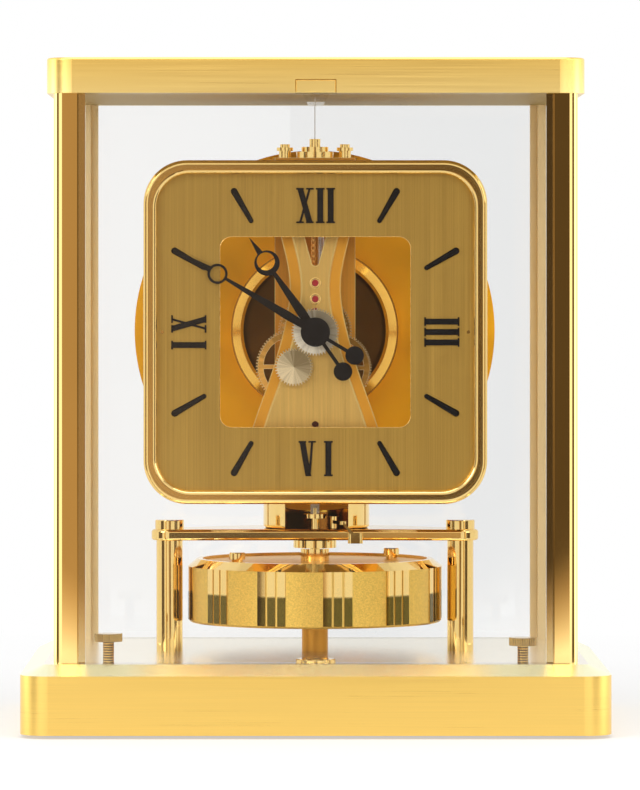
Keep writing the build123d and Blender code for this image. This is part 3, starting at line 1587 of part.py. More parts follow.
def draw_wedge(x):
    """Draw the letter of two strokes that meet at the foot."""
    reach = (wide_letter - serif_width) / 2
    draw_stroke(x + thin_width / 2, x - reach, bar_width, -letter_height / 2)
    draw_stroke(x + thin_width, x + reach, thin_width, -letter_height / 2)
    draw_serifs(x, (1,))


def numeral_plane(clock_angle, spin):
    """A plane on the dial's face at the middle of a numeral, its local Y turned by spin."""
    place = math.radians(clock_angle)
    middle = (numeral_inner + numeral_outer) / 2
    angle = math.radians(spin)
    return Plane(
        (middle * math.sin(place), dial_front_y, movement_height + middle * math.cos(place)),
        x_dir=(math.cos(angle), 0, -math.sin(angle)),
        z_dir=(0, -1, 0),
    )


cross_half = (wide_letter + 2 * bar_pitch) / 2
cross_one_half = (wide_letter + bar_pitch + serif_width - bar_width / 2) / 2

# Numerals: twelve, three, six and nine
with BuildPart() as numerals:
    with BuildSketch(numeral_plane(0, 0)):
        draw_cross(wide_letter / 2 - cross_half)
        draw_bar(cross_half - bar_pitch - serif_width / 2)
        draw_bar(cross_half - serif_width / 2)
    extrude(amount=numeral_thickness)
    with BuildSketch(numeral_plane(90, 90)):
        for place in (-1, 0, 1):
            draw_bar(place * bar_pitch)
    extrude(amount=numeral_thickness)
    with BuildSketch(numeral_plane(180, 0)):
        draw_wedge(wide_letter / 2 - cross_one_half)
        draw_bar(cross_one_half - serif_width / 2)
    extrude(amount=numeral_thickness)
    with BuildSketch(numeral_plane(270, 270)):
        draw_bar(serif_width / 2 - cross_one_half)
        draw_cross(cross_one_half - wide_letter / 2)
    extrude(amount=numeral_thickness)
save(numerals, "numerals")

# Hour markers: eight tapered batons with round ends and broad bevels
with BuildPart() as hour_markers:
    inner_end = marker_inner + marker_inner_width / 2
    outer_end = marker_outer - marker_outer_width / 2
    for hour in (1, 2, 4, 5, 7, 8, 10, 11):
        with BuildSketch(hand_plane(dial_front_y, hour * hour_angle)):
            with BuildLine():
                Polyline(
                    (-marker_inner_width / 2, inner_end),
                    (marker_inner_width / 2, inner_end),
                    (marker_outer_width / 2, outer_end),
                    (-marker_outer_width / 2, outer_end),
                    close=True,
                )
            make_face()
            with Locations((0, inner_end)):
                Circle(marker_inner_width / 2)
            with Locations((0, outer_end)):
                Circle(marker_outer_width / 2)
        extrude(amount=marker_thickness)
    chamfer(hour_markers.faces().group_by(Axis.Y)[0].edges(), marker_bevel)
save(hour_markers, "hour_markers")
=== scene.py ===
import math

import bpy
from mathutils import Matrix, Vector


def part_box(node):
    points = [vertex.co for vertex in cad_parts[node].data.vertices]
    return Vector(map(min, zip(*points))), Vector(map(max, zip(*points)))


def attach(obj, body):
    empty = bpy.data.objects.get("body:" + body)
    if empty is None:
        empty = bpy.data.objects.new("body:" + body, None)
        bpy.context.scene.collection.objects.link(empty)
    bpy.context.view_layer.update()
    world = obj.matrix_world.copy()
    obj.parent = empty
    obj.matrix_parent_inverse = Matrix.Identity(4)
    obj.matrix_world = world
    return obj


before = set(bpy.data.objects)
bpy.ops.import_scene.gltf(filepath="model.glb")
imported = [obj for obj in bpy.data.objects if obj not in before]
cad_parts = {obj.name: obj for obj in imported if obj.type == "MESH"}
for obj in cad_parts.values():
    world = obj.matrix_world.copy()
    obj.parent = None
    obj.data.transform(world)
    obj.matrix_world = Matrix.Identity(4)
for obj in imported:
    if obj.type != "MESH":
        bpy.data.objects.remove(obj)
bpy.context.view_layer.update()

bl_info = {
    "name": "Atmospheric Clock Dressing",
    "version": (1, 0, 0),
    "blender": (4, 5, 0),
    "location": "View3D > Sidebar > Clock",
    "description": "Gives the packed clock its finishes, its small loose details and its stage",
    "category": "Object",
}

MM = 0.001
WHITE = (1.0, 1.0, 1.0)
QUARTER_TURN = math.radians(90)

# Sizes of the CAD's pieces that the finishes go by
plinth_bevel_height = 3.6 * MM
plate_border_depth = 0.3 * MM
screw_head_height = 2.8 * MM
screw_pitch = 0.9 * MM
housing_shine_rise = 5.0 * MM
lowest_jewel_drop = 20.0 * MM
merge_distance = 0.001 * MM


def centre_of(node):
    """The middle of a CAD node's box."""
    low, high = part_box(node)
    return (Vector(low) + Vector(high)) / 2


def corner(node, which):
    """A CAD node's lowest (0) or highest (1) corner."""
    return Vector(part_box(node)[which])


hub = centre_of("dial_plate")
plinth_edge = corner("base_plinth", 1).z - plinth_bevel_height
wheel_low, wheel_high = corner("pendulum_wheel", 0), corner("pendulum_wheel", 1)
dial_front = corner("dial_plate", 0).y
plate_front = corner("front_plate", 0).y
plate_border = plate_front + plate_border_depth


class ClockFinishes(bpy.types.PropertyGroup):
    """Colours and gloss of the clock's finishes, in linear light."""

    satin_gold: bpy.props.FloatVectorProperty(
        name="Satin gold", description="Brushed plinth and cap", subtype="COLOR", size=3, min=0, max=1,
        default=(0.98, 0.66, 0.17),
    )
    polished_gold: bpy.props.FloatVectorProperty(
        name="Polished gold", description="Pillars, columns and bezel", subtype="COLOR", size=3,
        min=0, max=1, default=(0.97, 0.68, 0.25),
    )
    frosted_gold: bpy.props.FloatVectorProperty(
        name="Frosted gold", description="Frosted panels of the pendulum wheel", subtype="COLOR", size=3,
        min=0, max=1, default=(0.93, 0.60, 0.13),
    )
    dial_brass: bpy.props.FloatVectorProperty(
        name="Dial brass", description="Dial plate", subtype="COLOR", size=3, min=0, max=1,
        default=(0.56, 0.35, 0.082),
    )
    plate_gilt: bpy.props.FloatVectorProperty(
        name="Plate gilt", description="Movement plates", subtype="COLOR", size=3, min=0, max=1,
        default=(0.74, 0.47, 0.135),
    )
    amber: bpy.props.FloatVectorProperty(
        name="Amber lacquer", description="Drum front", subtype="COLOR", size=3, min=0, max=1,
        default=(1.0, 0.47, 0.02),
    )
    black: bpy.props.FloatVectorProperty(
        name="Black lacquer", description="Numerals, markers and hands", subtype="COLOR", size=3,
        min=0, max=1, default=(0.006, 0.006, 0.007),
    )
    satin_roughness: bpy.props.FloatProperty(
        name="Satin roughness", description="Roughness of the brushed faces", default=0.30,
        min=0, max=1,
    )
    polish_roughness: bpy.props.FloatProperty(
        name="Polish roughness", description="Roughness of the polished faces", default=0.055,
        min=0, max=1,
    )


class ClockSizes(bpy.types.PropertyGroup):
    """Sizes of the small pieces that the scene adds."""

    bubble_radius: bpy.props.FloatProperty(
        name="Bubble radius", description="Air bubble in the spirit level", default=1.5 * MM,
        unit="LENGTH",
    )
    setting_radius: bpy.props.FloatProperty(
        name="Setting radius", description="Gold setting round each jewel", default=2.0 * MM,
        unit="LENGTH",
    )
    setting_height: bpy.props.FloatProperty(
        name="Setting height", description="How far a jewel's setting stands proud", default=0.45 * MM,
        unit="LENGTH",
    )
    setting_bore: bpy.props.FloatProperty(
        name="Setting bore", description="Radius of the hole in a jewel's setting", default=1.25 * MM,
        unit="LENGTH",
    )
    upper_jewel_rise: bpy.props.FloatProperty(
        name="Upper jewel rise", description="Upper jewel's height above the hands' axis",
        default=17.4 * MM, unit="LENGTH",
    )
    lower_jewel_rise: bpy.props.FloatProperty(
        name="Lower jewel rise", description="Lower jewel's height above the hands' axis",
        default=11.7 * MM, unit="LENGTH",
    )
    window_size: bpy.props.FloatProperty(
        name="Window size", description="Side of the dial's window", default=67.9 * MM, unit="LENGTH",
    )
    window_corner: bpy.props.FloatProperty(
        name="Window corner", description="Corner radius of the dial's window", default=4.3 * MM,
        unit="LENGTH",
    )
    window_trim: bpy.props.FloatProperty(
        name="Window trim", description="Width of the bright edge of the dial's window",
        default=0.16 * MM, unit="LENGTH",
    )
    trim_thickness: bpy.props.FloatProperty(
        name="Trim thickness", description="Thickness of the window's bright edge", default=0.25 * MM,
        unit="LENGTH",
    )
    chain_x: bpy.props.FloatProperty(
        name="Chain place", description="The chain's place across the slot", default=-0.7 * MM,
        unit="LENGTH",
    )
    spring_x: bpy.props.FloatProperty(
        name="Spring place", description="The spring's place across the slot", default=2.0 * MM,
        unit="LENGTH",
    )
    strand_foot: bpy.props.FloatProperty(
        name="Strand foot", description="Lower end of the strands above the hands' axis",
        default=22.0 * MM, unit="LENGTH",
    )
    strand_depth: bpy.props.FloatProperty(
        name="Strand depth", description="How far the strands run behind the front plate's face",
        default=4.5 * MM, unit="LENGTH",
    )
    strand_length: bpy.props.FloatProperty(
        name="Strand length", description="Length of the chain and of the spring", default=15.0 * MM,
        unit="LENGTH",
    )
    strand_wire: bpy.props.FloatProperty(
        name="Strand wire", description="Radius of the links' and the coil's wire", default=0.2 * MM,
        unit="LENGTH",
    )
    link_length: bpy.props.FloatProperty(
        name="Link length", description="Length of a pair of links", default=2.0 * MM, unit="LENGTH",
    )
    spring_pitch: bpy.props.FloatProperty(
        name="Spring pitch", description="Rise of one turn of the coil", default=0.62 * MM, unit="LENGTH",
    )
    spring_radius: bpy.props.FloatProperty(
        name="Spring radius", description="Radius of the coil to its wire's middle", default=1.1 * MM,
        unit="LENGTH",
    )


class ClockStage(bpy.types.PropertyGroup):
    """Where the camera stands and what the photograph's frame shows."""

    camera_place: bpy.props.FloatVectorProperty(
        name="Camera place", description="Camera position", subtype="TRANSLATION", size=3,
        default=(-9.0 * MM, -1942.0 * MM, 159.7 * MM),
    )
    focal_pixels: bpy.props.FloatProperty(
        name="Focal length", description="Focal length in pixels of the photograph", default=5374.0,
    )
    vanishing_x: bpy.props.FloatProperty(
        name="Vanishing point across", description="Pixels from the left edge", default=290.0,
    )
    vanishing_y: bpy.props.FloatProperty(
        name="Vanishing point down", description="Pixels from the top edge", default=278.0,
    )
    lamp_power: bpy.props.FloatProperty(
        name="Lamp power", description="Power of each soft lamp", default=10.5, subtype="POWER",
    )


def finishes():
    return bpy.context.scene.clock_finishes


# Shader nodes

def node(tree, kind, values=None, **settings):
    """Add a shader node; values sets or links its inputs, settings its other properties."""
    made = tree.nodes.new("ShaderNode" + kind)
    for name, value in settings.items():
        setattr(made, name, value)
    for socket, value in (values or {}).items():
        if isinstance(value, bpy.types.NodeSocket):
            tree.links.new(value, made.inputs[socket])
        else:
            made.inputs[socket].default_value = value
    return made


def maths(tree, operation, first, second=0.0, third=0.0):
    return node(tree, "Math", {0: first, 1: second, 2: third}, operation=operation).outputs[0]


def both(tree, first, second):
    """Two shares multiplied: 1 only where both are."""
    return maths(tree, "MULTIPLY", first, second)


def mix(tree, share, first, second):
    """A value that goes from first to second by share."""
    return node(tree, "Mix", {0: share, 2: first, 3: second}).outputs[0]


def parts_of(tree, vector):
    """A vector's X, Y and Z outputs."""
    return node(tree, "SeparateXYZ", {0: vector}).outputs


def length_of(tree, vector):
    return node(tree, "VectorMath", {0: vector}, operation="LENGTH").outputs["Value"]


def vector_of(tree, x, y, z):
    return node(tree, "CombineXYZ", {0: x, 1: y, 2: z}).outputs[0]


def moved(tree, point, shift):
    return node(tree, "Mapping", {"Vector": point, "Location": shift}).outputs[0]


def between(tree, value, low, high):
    """Spread a value from 0 to 1 over low to high."""
    return node(tree, "MapRange", {"Value": value, "To Min": low, "To Max": high}, clamp=True).outputs[0]


def between_values(tree, value, start, end):
    """0 where value is at start, 1 where it is at end, and even between."""
    spread = {"Value": value, "From Min": start, "From Max": end, "To Min": 0.0, "To Max": 1.0}
    return node(tree, "MapRange", spread, clamp=True).outputs[0]


def link_colour(tree, colour, socket):
    """Give a socket a colour, whether a value or another node's output."""
    if isinstance(colour, bpy.types.NodeSocket):
        tree.links.new(colour, socket)
    else:
        socket.default_value = (*colour[:3], 1)


def blend_colours(tree, share, first, second):
    """A colour that goes from first to second by share."""
    mixed = node(tree, "Mix", {0: share}, data_type="RGBA")
    link_colour(tree, first, mixed.inputs[6])
    link_colour(tree, second, mixed.inputs[7])
    return mixed.outputs[2]


def place(tree):
    """The point on the surface, in metres in the clock's own frame."""
    return node(tree, "TexCoord").outputs["Object"]


def grain(tree, point, scales, detail=3.0):
    """Noise drawn out by scales, in cycles per metre along X, Y and Z."""
    drawn = node(tree, "Mapping", {"Vector": point, "Scale": scales}).outputs[0]
    return node(tree, "TexNoise", {"Vector": drawn, "Scale": 1.0, "Detail": detail}).outputs["Fac"]


def finish_base(name, colour, metallic, roughness):
    """A new material with its main sockets set; returns the material, its tree and its shader."""
    material = bpy.data.materials.new(name)
    material.use_nodes = True
    material.diffuse_color = (*colour[:3], 1)
    shader = material.node_tree.nodes["Principled BSDF"]
    shader.inputs["Base Color"].default_value = (*colour[:3], 1)
    shader.inputs["Metallic"].default_value = metallic
    shader.inputs["Roughness"].default_value = roughness
    return material, material.node_tree, shader


def bump(tree, shader, height, depth, strength=1.0):
    relief = node(tree, "Bump", {"Height": height, "Distance": depth, "Strength": strength})
    tree.links.new(relief.outputs[0], shader.inputs["Normal"])


def shade(colour, factor):
    return tuple(channel * factor for channel in colour[:3])


def edge_share(tree, width, full_at):
    """1 along sharp edges and 0 on the faces: full_at is the lean of the rounded normal at 1."""
    rounded = node(tree, "Bevel", {"Radius": width}, samples=8).outputs[0]
    flat = node(tree, "NewGeometry").outputs["Normal"]
    lean = node(tree, "VectorMath", {0: rounded, 1: flat}, operation="DOT_PRODUCT").outputs["Value"]
    return between_values(tree, lean, 0.997, full_at)


def object_normal(tree):
    return parts_of(tree, node(tree, "TexCoord").outputs["Normal"])


# Materials

def polished(name, colour, roughness=None, painted_light_behind=None):
    """Polished plate, faintly cloudy; behind a depth, all but the rear faces are paler and softer, as
    painted light.
    """
    roughness = finishes().polish_roughness if roughness is None else roughness
    material, tree, shader = finish_base(name, colour, 1.0, roughness)
    point = place(tree)
    cloud = grain(tree, point, (60, 60, 60), 2.0)
    fine = grain(tree, point, (900, 900, 900), 4.0)
    gloss = between(tree, both(tree, cloud, fine), roughness * 0.6, roughness * 1.8)
    tint = blend_colours(tree, cloud, shade(colour, 0.97), colour)
    if painted_light_behind is not None:
        # Painted light: behind the depth, faces not turned to the rear get a paler, softer, less metallic
        # copy of the polish.
        behind = maths(tree, "GREATER_THAN", parts_of(tree, point)["Y"], painted_light_behind)
        not_rear = maths(tree, "LESS_THAN", object_normal(tree)["Y"], 0.5)
        pale = both(tree, behind, not_rear)
        gloss = mix(tree, pale, gloss, 0.28)
        tint = blend_colours(tree, pale, tint, (1.0, 0.79, 0.44))
        tree.links.new(between(tree, pale, 1.0, 0.4), shader.inputs["Metallic"])
    tree.links.new(gloss, shader.inputs["Roughness"])
    tree.links.new(tint, shader.inputs["Base Color"])
    return material


def threaded(name, colour, below, pitch):
    """Polished metal with a thread cut into it below a height, with painted shade in its grooves."""
    material = polished(name, colour, 0.14)
    tree = material.node_tree
    shader = tree.nodes["Principled BSDF"]
    height = parts_of(tree, place(tree))["Z"]
    turns = maths(tree, "SINE", maths(tree, "MULTIPLY", height, math.tau / pitch))
    cut = both(tree, turns, maths(tree, "LESS_THAN", height, below))
    bump(tree, shader, cut, 0.2 * MM)
    # Painted shade: in the thread's grooves the colour darkens to 0.3 of the metal's.
    painted_groove_shade = between_values(tree, cut, 0.3, -0.3)
    base = shader.inputs["Base Color"]
    tint = base.links[0].from_socket
    tree.links.new(blend_colours(tree, painted_groove_shade, tint, shade(colour, 0.3)), base)
    return material


def brushed(name, colour, polish_above=None, painted_light_span=None):
    """Metal brushed along its length; above a height it is polished and painted pale as a highlight; over
    a given span it grows paler downwards, painted light.
    """
    look = finishes()
    material, tree, shader = finish_base(name, colour, 1.0, look.satin_roughness)
    point = place(tree)
    upright = grain(tree, point, (14, 14, 2600), 5.0)
    level = grain(tree, point, (14, 2600, 14), 5.0)
    normal = object_normal(tree)["Z"]
    lying = maths(tree, "GREATER_THAN", maths(tree, "ABSOLUTE", normal), 0.7)
    lines = mix(tree, lying, upright, level)
    broad = grain(tree, point, (9, 9, 60), 2.0)
    dull = between(tree, lines, look.satin_roughness - 0.09, look.satin_roughness + 0.11)
    tone = both(tree, between(tree, lines, 0.1, 0.9), between(tree, broad, 0.7, 1.2))
    height = parts_of(tree, point)["Z"]
    line_height = lines
    if polish_above is not None:
        above = maths(tree, "GREATER_THAN", height, polish_above)
        dull = mix(tree, above, dull, 0.24)
        tone = mix(tree, above, tone, 1.0)
        line_height = mix(tree, above, lines, 0.5)
    tree.links.new(dull, shader.inputs["Roughness"])
    tint = blend_colours(tree, tone, shade(colour, 0.86), shade(colour, 1.04))
    # Painted light: over the span the colour grows paler towards its bottom.
    if painted_light_span is not None:
        low, high = painted_light_span
        painted_light_downwards = between_values(tree, height, high, low)
        tint = blend_colours(tree, maths(tree, "MULTIPLY", painted_light_downwards, 0.5), tint, (1.0, 0.82, 0.36))
    # Polished above the height, and painted highlight: the top face and the bevel get pale cream colours.
    if polish_above is not None:
        flat = maths(tree, "GREATER_THAN", normal, 0.97)
        pale = blend_colours(tree, flat, (1.0, 0.98, 0.66), (1.0, 0.94, 0.80))
        tint = blend_colours(tree, above, tint, pale)
    tree.links.new(tint, shader.inputs["Base Color"])
    bump(tree, shader, line_height, 0.02 * MM, 0.5)
    return material


def dial_finish(name, colour):
    """Olive brass brushed up and down, with broad uneven streaks."""
    material, tree, shader = finish_base(name, colour, 1.0, 0.36)
    point = place(tree)
    lines = grain(tree, point, (2400, 40, 11), 6.0)
    broad = grain(tree, point, (90, 40, 6), 2.0)
    tree.links.new(between(tree, lines, 0.27, 0.46), shader.inputs["Roughness"])
    tone = both(tree, between(tree, lines, 0.0, 1.0), between(tree, broad, 0.6, 1.25))
    tint = blend_colours(tree, tone, shade(colour, 0.72), shade(colour, 1.25))
    tree.links.new(tint, shader.inputs["Base Color"])
    bump(tree, shader, lines, 0.02 * MM, 0.6)
    return material


def pendulum_finish(name):
    """Frosted panels, mirror strips with gold gaps and a painted dark reflection on their lower half, and
    a painted amber reflection on the top.
    """
    look = finishes()
    bevel_height = 2.75 * MM
    recess_depth, strip_depth = 0.15 * MM, 0.8 * MM
    top_land = 5.3 * MM
    group_middle, half_group, half_strips = -80.0, 15.0, 6.3
    painted_dark_start, painted_dark_end = 0.1 * MM, -0.7 * MM
    material, tree, shader = finish_base(name, look.frosted_gold, 1.0, 0.3)
    point = place(tree)
    part = parts_of(tree, point)
    radius = length_of(tree, vector_of(tree, part["X"], part["Y"], 0.0))
    rim_radius = (wheel_high.x - wheel_low.x) / 2
    low_wall = maths(tree, "LESS_THAN", radius, rim_radius - recess_depth)
    near_rim = maths(tree, "GREATER_THAN", radius, rim_radius - strip_depth)
    below_bevel = maths(tree, "LESS_THAN", part["Z"], wheel_high.z - bevel_height)
    angle = maths(tree, "DEGREES", maths(tree, "ARCTAN2", part["Y"], part["X"]))
    group = maths(tree, "WRAP", maths(tree, "SUBTRACT", angle, group_middle), half_group, -half_group)
    on_panel = maths(tree, "GREATER_THAN", maths(tree, "ABSOLUTE", group), half_strips)
    recessed = both(tree, both(tree, low_wall, near_rim), below_bevel)
    frosted = both(tree, recessed, on_panel)
    gap = maths(tree, "SUBTRACT", recessed, frosted)
    inside = maths(tree, "LESS_THAN", radius, rim_radius - top_land)
    speckle = node(tree, "TexVoronoi", {"Vector": point, "Scale": 3000.0}).outputs["Color"]
    speckle = parts_of(tree, speckle)["X"]
    fine = grain(tree, point, (3000, 3000, 3000), 4.0)
    rough = mix(tree, recessed, look.polish_roughness, 0.42)
    tree.links.new(mix(tree, inside, rough, 0.35), shader.inputs["Roughness"])
    sparkle = blend_colours(tree, speckle, shade(look.frosted_gold, 0.75), shade(look.frosted_gold, 1.0))
    # Painted reflection: the top inside the land is tinted amber.
    polish = blend_colours(tree, inside, look.polished_gold, (1.0, 0.58, 0.12))
    # Painted reflection: the mirror strips turn near black in their lower half.
    middle = (wheel_low.z + wheel_high.z) / 2
    lower = between_values(tree, part["Z"], middle + painted_dark_start, middle + painted_dark_end)
    lower = maths(tree, "MULTIPLY", both(tree, lower, near_rim), 0.94)
    polish = blend_colours(tree, lower, polish, (0.10, 0.07, 0.006))
    tint = blend_colours(tree, frosted, polish, sparkle)
    tint = blend_colours(tree, gap, tint, (0.80, 0.52, 0.13))
    tree.links.new(tint, shader.inputs["Base Color"])
    bump(tree, shader, both(tree, maths(tree, "ADD", speckle, fine), frosted), 0.05 * MM, 0.3)
    return material


def housing_finish(name):
    """Polished outside; inside amber above and dark below, as if it mirrored the drum."""
    look = finishes()
    wall, half_blur = 0.5 * MM, 0.4 * MM
    material, tree, shader = finish_base(name, look.polished_gold, 1.0, look.polish_roughness)
    point = place(tree)
    low, high = corner("escapement_housing", 0), corner("escapement_housing", 1)
    middle = centre_of("escapement_housing")
    part = parts_of(tree, moved(tree, point, (-middle.x, -middle.y, 0)))
    radius = length_of(tree, vector_of(tree, part["X"], part["Y"], 0.0))
    inside = maths(tree, "LESS_THAN", radius, (high.x - low.x) / 2 - wall)
    cloud = grain(tree, point, (60, 60, 60), 2.0)
    gloss = between(tree, cloud, look.polish_roughness * 0.6, look.polish_roughness * 1.6)
    tree.links.new(mix(tree, inside, gloss, 0.1), shader.inputs["Roughness"])
    shine = low.z + housing_shine_rise
    rise = between_values(tree, part["Z"], shine - half_blur, shine + half_blur)
    amber = blend_colours(tree, rise, (0.30, 0.12, 0.02), (1.0, 0.62, 0.08))
    tint = blend_colours(tree, inside, look.polished_gold, amber)
    tree.links.new(tint, shader.inputs["Base Color"])
    return material


def edged_plate(name, colour, edge_width, border_behind=None):
    """Fine matt gilt brushed up and down, with glossier edges painted bright as a highlight, and an amber
    border set back.
    """
    material, tree, shader = finish_base(name, colour, 1.0, 0.44)
    point = place(tree)
    fine = grain(tree, point, (1500, 300, 30), 4.0)
    edge = edge_share(tree, edge_width, 0.95)
    dull = mix(tree, edge, between(tree, fine, 0.36, 0.52), 0.3)
    tree.links.new(dull, shader.inputs["Roughness"])
    tint = blend_colours(tree, fine, shade(colour, 0.75), shade(colour, 1.15))
    if border_behind is not None:
        lower = maths(tree, "GREATER_THAN", parts_of(tree, point)["Y"], border_behind)
        tint = blend_colours(tree, lower, tint, (0.80, 0.37, 0.045))
    # Painted highlight: along the edges the colour turns pale yellow; the extra gloss there is real
    # polish.
    tint = blend_colours(tree, edge, tint, (1.0, 0.82, 0.34))
    tree.links.new(tint, shader.inputs["Base Color"])
    return material


def sunray(name, colour, centre, pale_before=None):
    """A turned wheel's finish: rays about its own arbor, a broad painted glint with painted shade on its
    far side and painted highlight on its edges, paler at its front.
    """
    material, tree, shader = finish_base(name, colour, 1.0, 0.3)
    point = place(tree)
    if pale_before is not None:
        pale = maths(tree, "LESS_THAN", parts_of(tree, point)["Y"], pale_before)
        colour = blend_colours(tree, pale, colour, (0.92, 0.76, 0.48))
    part = parts_of(tree, moved(tree, point, (-centre.x, 0, -centre.z)))
    angle = maths(tree, "ARCTAN2", part["Z"], part["X"])
    round_point = vector_of(tree, maths(tree, "COSINE", angle), maths(tree, "SINE", angle), part["Y"])
    rays = grain(tree, round_point, (7, 7, 7), 1.0)
    tree.links.new(between(tree, rays, 0.36, 0.44), shader.inputs["Roughness"])
    # Painted glint: the lower left of each wheel is lighter, and the upper right is darkened as painted
    # shade.
    glint = maths(tree, "COSINE", maths(tree, "ADD", angle, math.radians(135)))
    tone = maths(tree, "MULTIPLY_ADD", glint, 0.55, between(tree, rays, 0.0, 0.9))
    tone = node(tree, "Clamp", {"Value": tone}).outputs[0]
    edge = edge_share(tree, 0.25 * MM, 0.93)
    dark = node(tree, "Mix", {0: 1.0, 7: (0.32, 0.29, 0.24, 1)}, data_type="RGBA", blend_type="MULTIPLY")
    link_colour(tree, colour, dark.inputs[6])
    tint = blend_colours(tree, tone, dark.outputs[2], colour)
    # Painted highlight: the wheel's edges are painted pale.
    tint = blend_colours(tree, edge, tint, (1.0, 0.84, 0.50))
    tree.links.new(tint, shader.inputs["Base Color"])
    return material


def amber_lacquer(name, colour, metallic=1.0):
    """Amber lacquer with faint turning rings about the drum's axis, and broad patches lighter and darker
    at random as a painted reflection.
    """
    ring_scale = 9000.0
    material, tree, shader = finish_base(name, colour, metallic, 0.3)
    shader.inputs["Specular IOR Level"].default_value = 0.1
    part = parts_of(tree, moved(tree, place(tree), (0, 0, -hub.z)))
    flat = vector_of(tree, part["X"], 0.0, part["Z"])
    turned = maths(tree, "SINE", maths(tree, "MULTIPLY", length_of(tree, flat), ring_scale))
    uneven = node(tree, "TexNoise", {"Vector": flat, "Scale": 40.0, "Detail": 2.0}).outputs["Fac"]
    tree.links.new(between(tree, uneven, 0.38, 0.54), shader.inputs["Roughness"])
    # Painted reflection: broad patches make the colour lighter and darker.
    cloud = node(tree, "TexNoise", {"Vector": flat, "Scale": 28.0, "Detail": 1.0}).outputs["Fac"]
    cloud = between_values(tree, cloud, 0.35, 0.65)
    tint = blend_colours(tree, cloud, shade(colour, 0.80), shade(colour, 1.25))
    tree.links.new(tint, shader.inputs["Base Color"])
    bump(tree, shader, turned, 0.004 * MM, 0.4)
    return material


def black_lacquer(name, colour):
    """Black satin lacquer with the least orange-peel."""
    material, tree, shader = finish_base(name, colour, 0.0, 0.42)
    point = place(tree)
    peel = grain(tree, point, (1500, 1500, 1500), 2.0)
    tree.links.new(between(tree, peel, 0.36, 0.5), shader.inputs["Roughness"])
    tint = blend_colours(tree, peel, colour, shade(colour, 1.6))
    tree.links.new(tint, shader.inputs["Base Color"])
    shader.inputs["Specular IOR Level"].default_value = 0.08
    bump(tree, shader, peel, 0.01 * MM, 0.3)
    return material


def steel_finish(name, colour, roughness, metallic=1.0):
    """Ground steel with faint scratches."""
    material, tree, shader = finish_base(name, colour, metallic, roughness)
    scratches = grain(tree, place(tree), (400, 2200, 400), 4.0)
    tree.links.new(between(tree, scratches, roughness * 0.7, roughness * 1.3), shader.inputs["Roughness"])
    tint = blend_colours(tree, scratches, shade(colour, 0.85), shade(colour, 1.1))
    tree.links.new(tint, shader.inputs["Base Color"])
    return material


def clear_glass(name, colour, smudge, clear_share=0.0):
    """Clear glass or plastic that lets the lamps through; smudges vary its gloss a little."""
    material, tree, shader = finish_base(name, colour, 0.0, 0.0)
    shader.inputs["Transmission Weight"].default_value = 1.0
    shader.inputs["IOR"].default_value = 1.45
    cloud = grain(tree, place(tree), (25, 25, 25), 2.0)
    tree.links.new(between(tree, cloud, 0.0, smudge), shader.inputs["Roughness"])
    path = node(tree, "LightPath")
    through = node(tree, "BsdfTransparent", {"Color": (*colour[:3], 1)})
    lit = maths(tree, "MAXIMUM", path.outputs["Is Shadow Ray"], path.outputs["Is Diffuse Ray"])
    if clear_share:
        lit = maths(tree, "MAXIMUM", lit, clear_share)
    mixed = node(tree, "MixShader", {0: lit, 1: shader.outputs[0], 2: through.outputs[0]})
    output = tree.nodes["Material Output"]
    tree.links.new(mixed.outputs[0], output.inputs["Surface"])
    return material


def ruby_finish(name):
    """Polished ruby under a clear coat; the bottom jewel is darkened with painted shade."""
    material, tree, shader = finish_base(name, (0.40, 0.02, 0.03), 0.0, 0.06)
    shader.inputs["Coat Weight"].default_value = 0.6
    shader.inputs["Coat Roughness"].default_value = 0.03
    point = place(tree)
    depth = grain(tree, point, (1200, 1200, 1200), 2.0)
    tint = blend_colours(tree, depth, (0.25, 0.01, 0.015), (0.55, 0.04, 0.05))
    # Painted shade: the bottom jewel gets a near black red.
    lowest_painted_shade = maths(tree, "LESS_THAN", parts_of(tree, point)["Z"], hub.z - lowest_jewel_drop)
    tint = blend_colours(tree, lowest_painted_shade, tint, (0.05, 0.002, 0.003))
    tree.links.new(tint, shader.inputs["Base Color"])
    return material


def dress(material, *names):
    """Give CAD nodes a material."""
    for name in names:
        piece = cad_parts[name]
        piece.data.materials.clear()
        piece.data.materials.append(material)


# Modelling helpers

def start_piece():
    """Leave edit mode and deselect everything, as each piece begins."""
    if bpy.context.object is not None and bpy.context.object.mode != "OBJECT":
        bpy.ops.object.mode_set(mode="OBJECT")
    bpy.ops.object.select_all(action="DESELECT")


def edit_faces(piece, chosen):
    """Enter edit mode on a piece with only the faces that chosen picks selected."""
    bpy.ops.object.mode_set(mode="EDIT")
    bpy.ops.mesh.select_mode(type="FACE")
    bpy.ops.mesh.select_all(action="DESELECT")
    bpy.ops.object.mode_set(mode="OBJECT")
    for face in piece.data.polygons:
        face.select = chosen(face)
    bpy.ops.object.mode_set(mode="EDIT")


def settle(piece, name, material, body, smooth=35):
    """Finish a piece: name, place in its mesh, shading, material and the body it rides on."""
    if bpy.context.object.mode != "OBJECT":
        bpy.ops.object.mode_set(mode="OBJECT")
    bpy.ops.object.select_all(action="DESELECT")
    piece.select_set(True)
    bpy.context.view_layer.objects.active = piece
    bpy.ops.object.transform_apply(location=True, rotation=True, scale=True)
    for modifier in list(piece.modifiers):
        bpy.ops.object.modifier_apply(modifier=modifier.name)
    bpy.ops.object.mode_set(mode="EDIT")
    bpy.ops.mesh.select_all(action="SELECT")
    bpy.ops.mesh.remove_doubles(threshold=merge_distance)
    bpy.ops.mesh.normals_make_consistent(inside=False)
    bpy.ops.object.mode_set(mode="OBJECT")
    bpy.ops.object.shade_smooth_by_angle(angle=math.radians(smooth))
    piece.name = name
    piece.data.name = name
    piece.data.materials.clear()
    piece.data.materials.append(material)
    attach(piece, body)
    return piece


def add_bevel(piece, width):
    edge = piece.modifiers.new("edge", "BEVEL")
    edge.width = width
    edge.segments = 2
    edge.limit_method = "ANGLE"


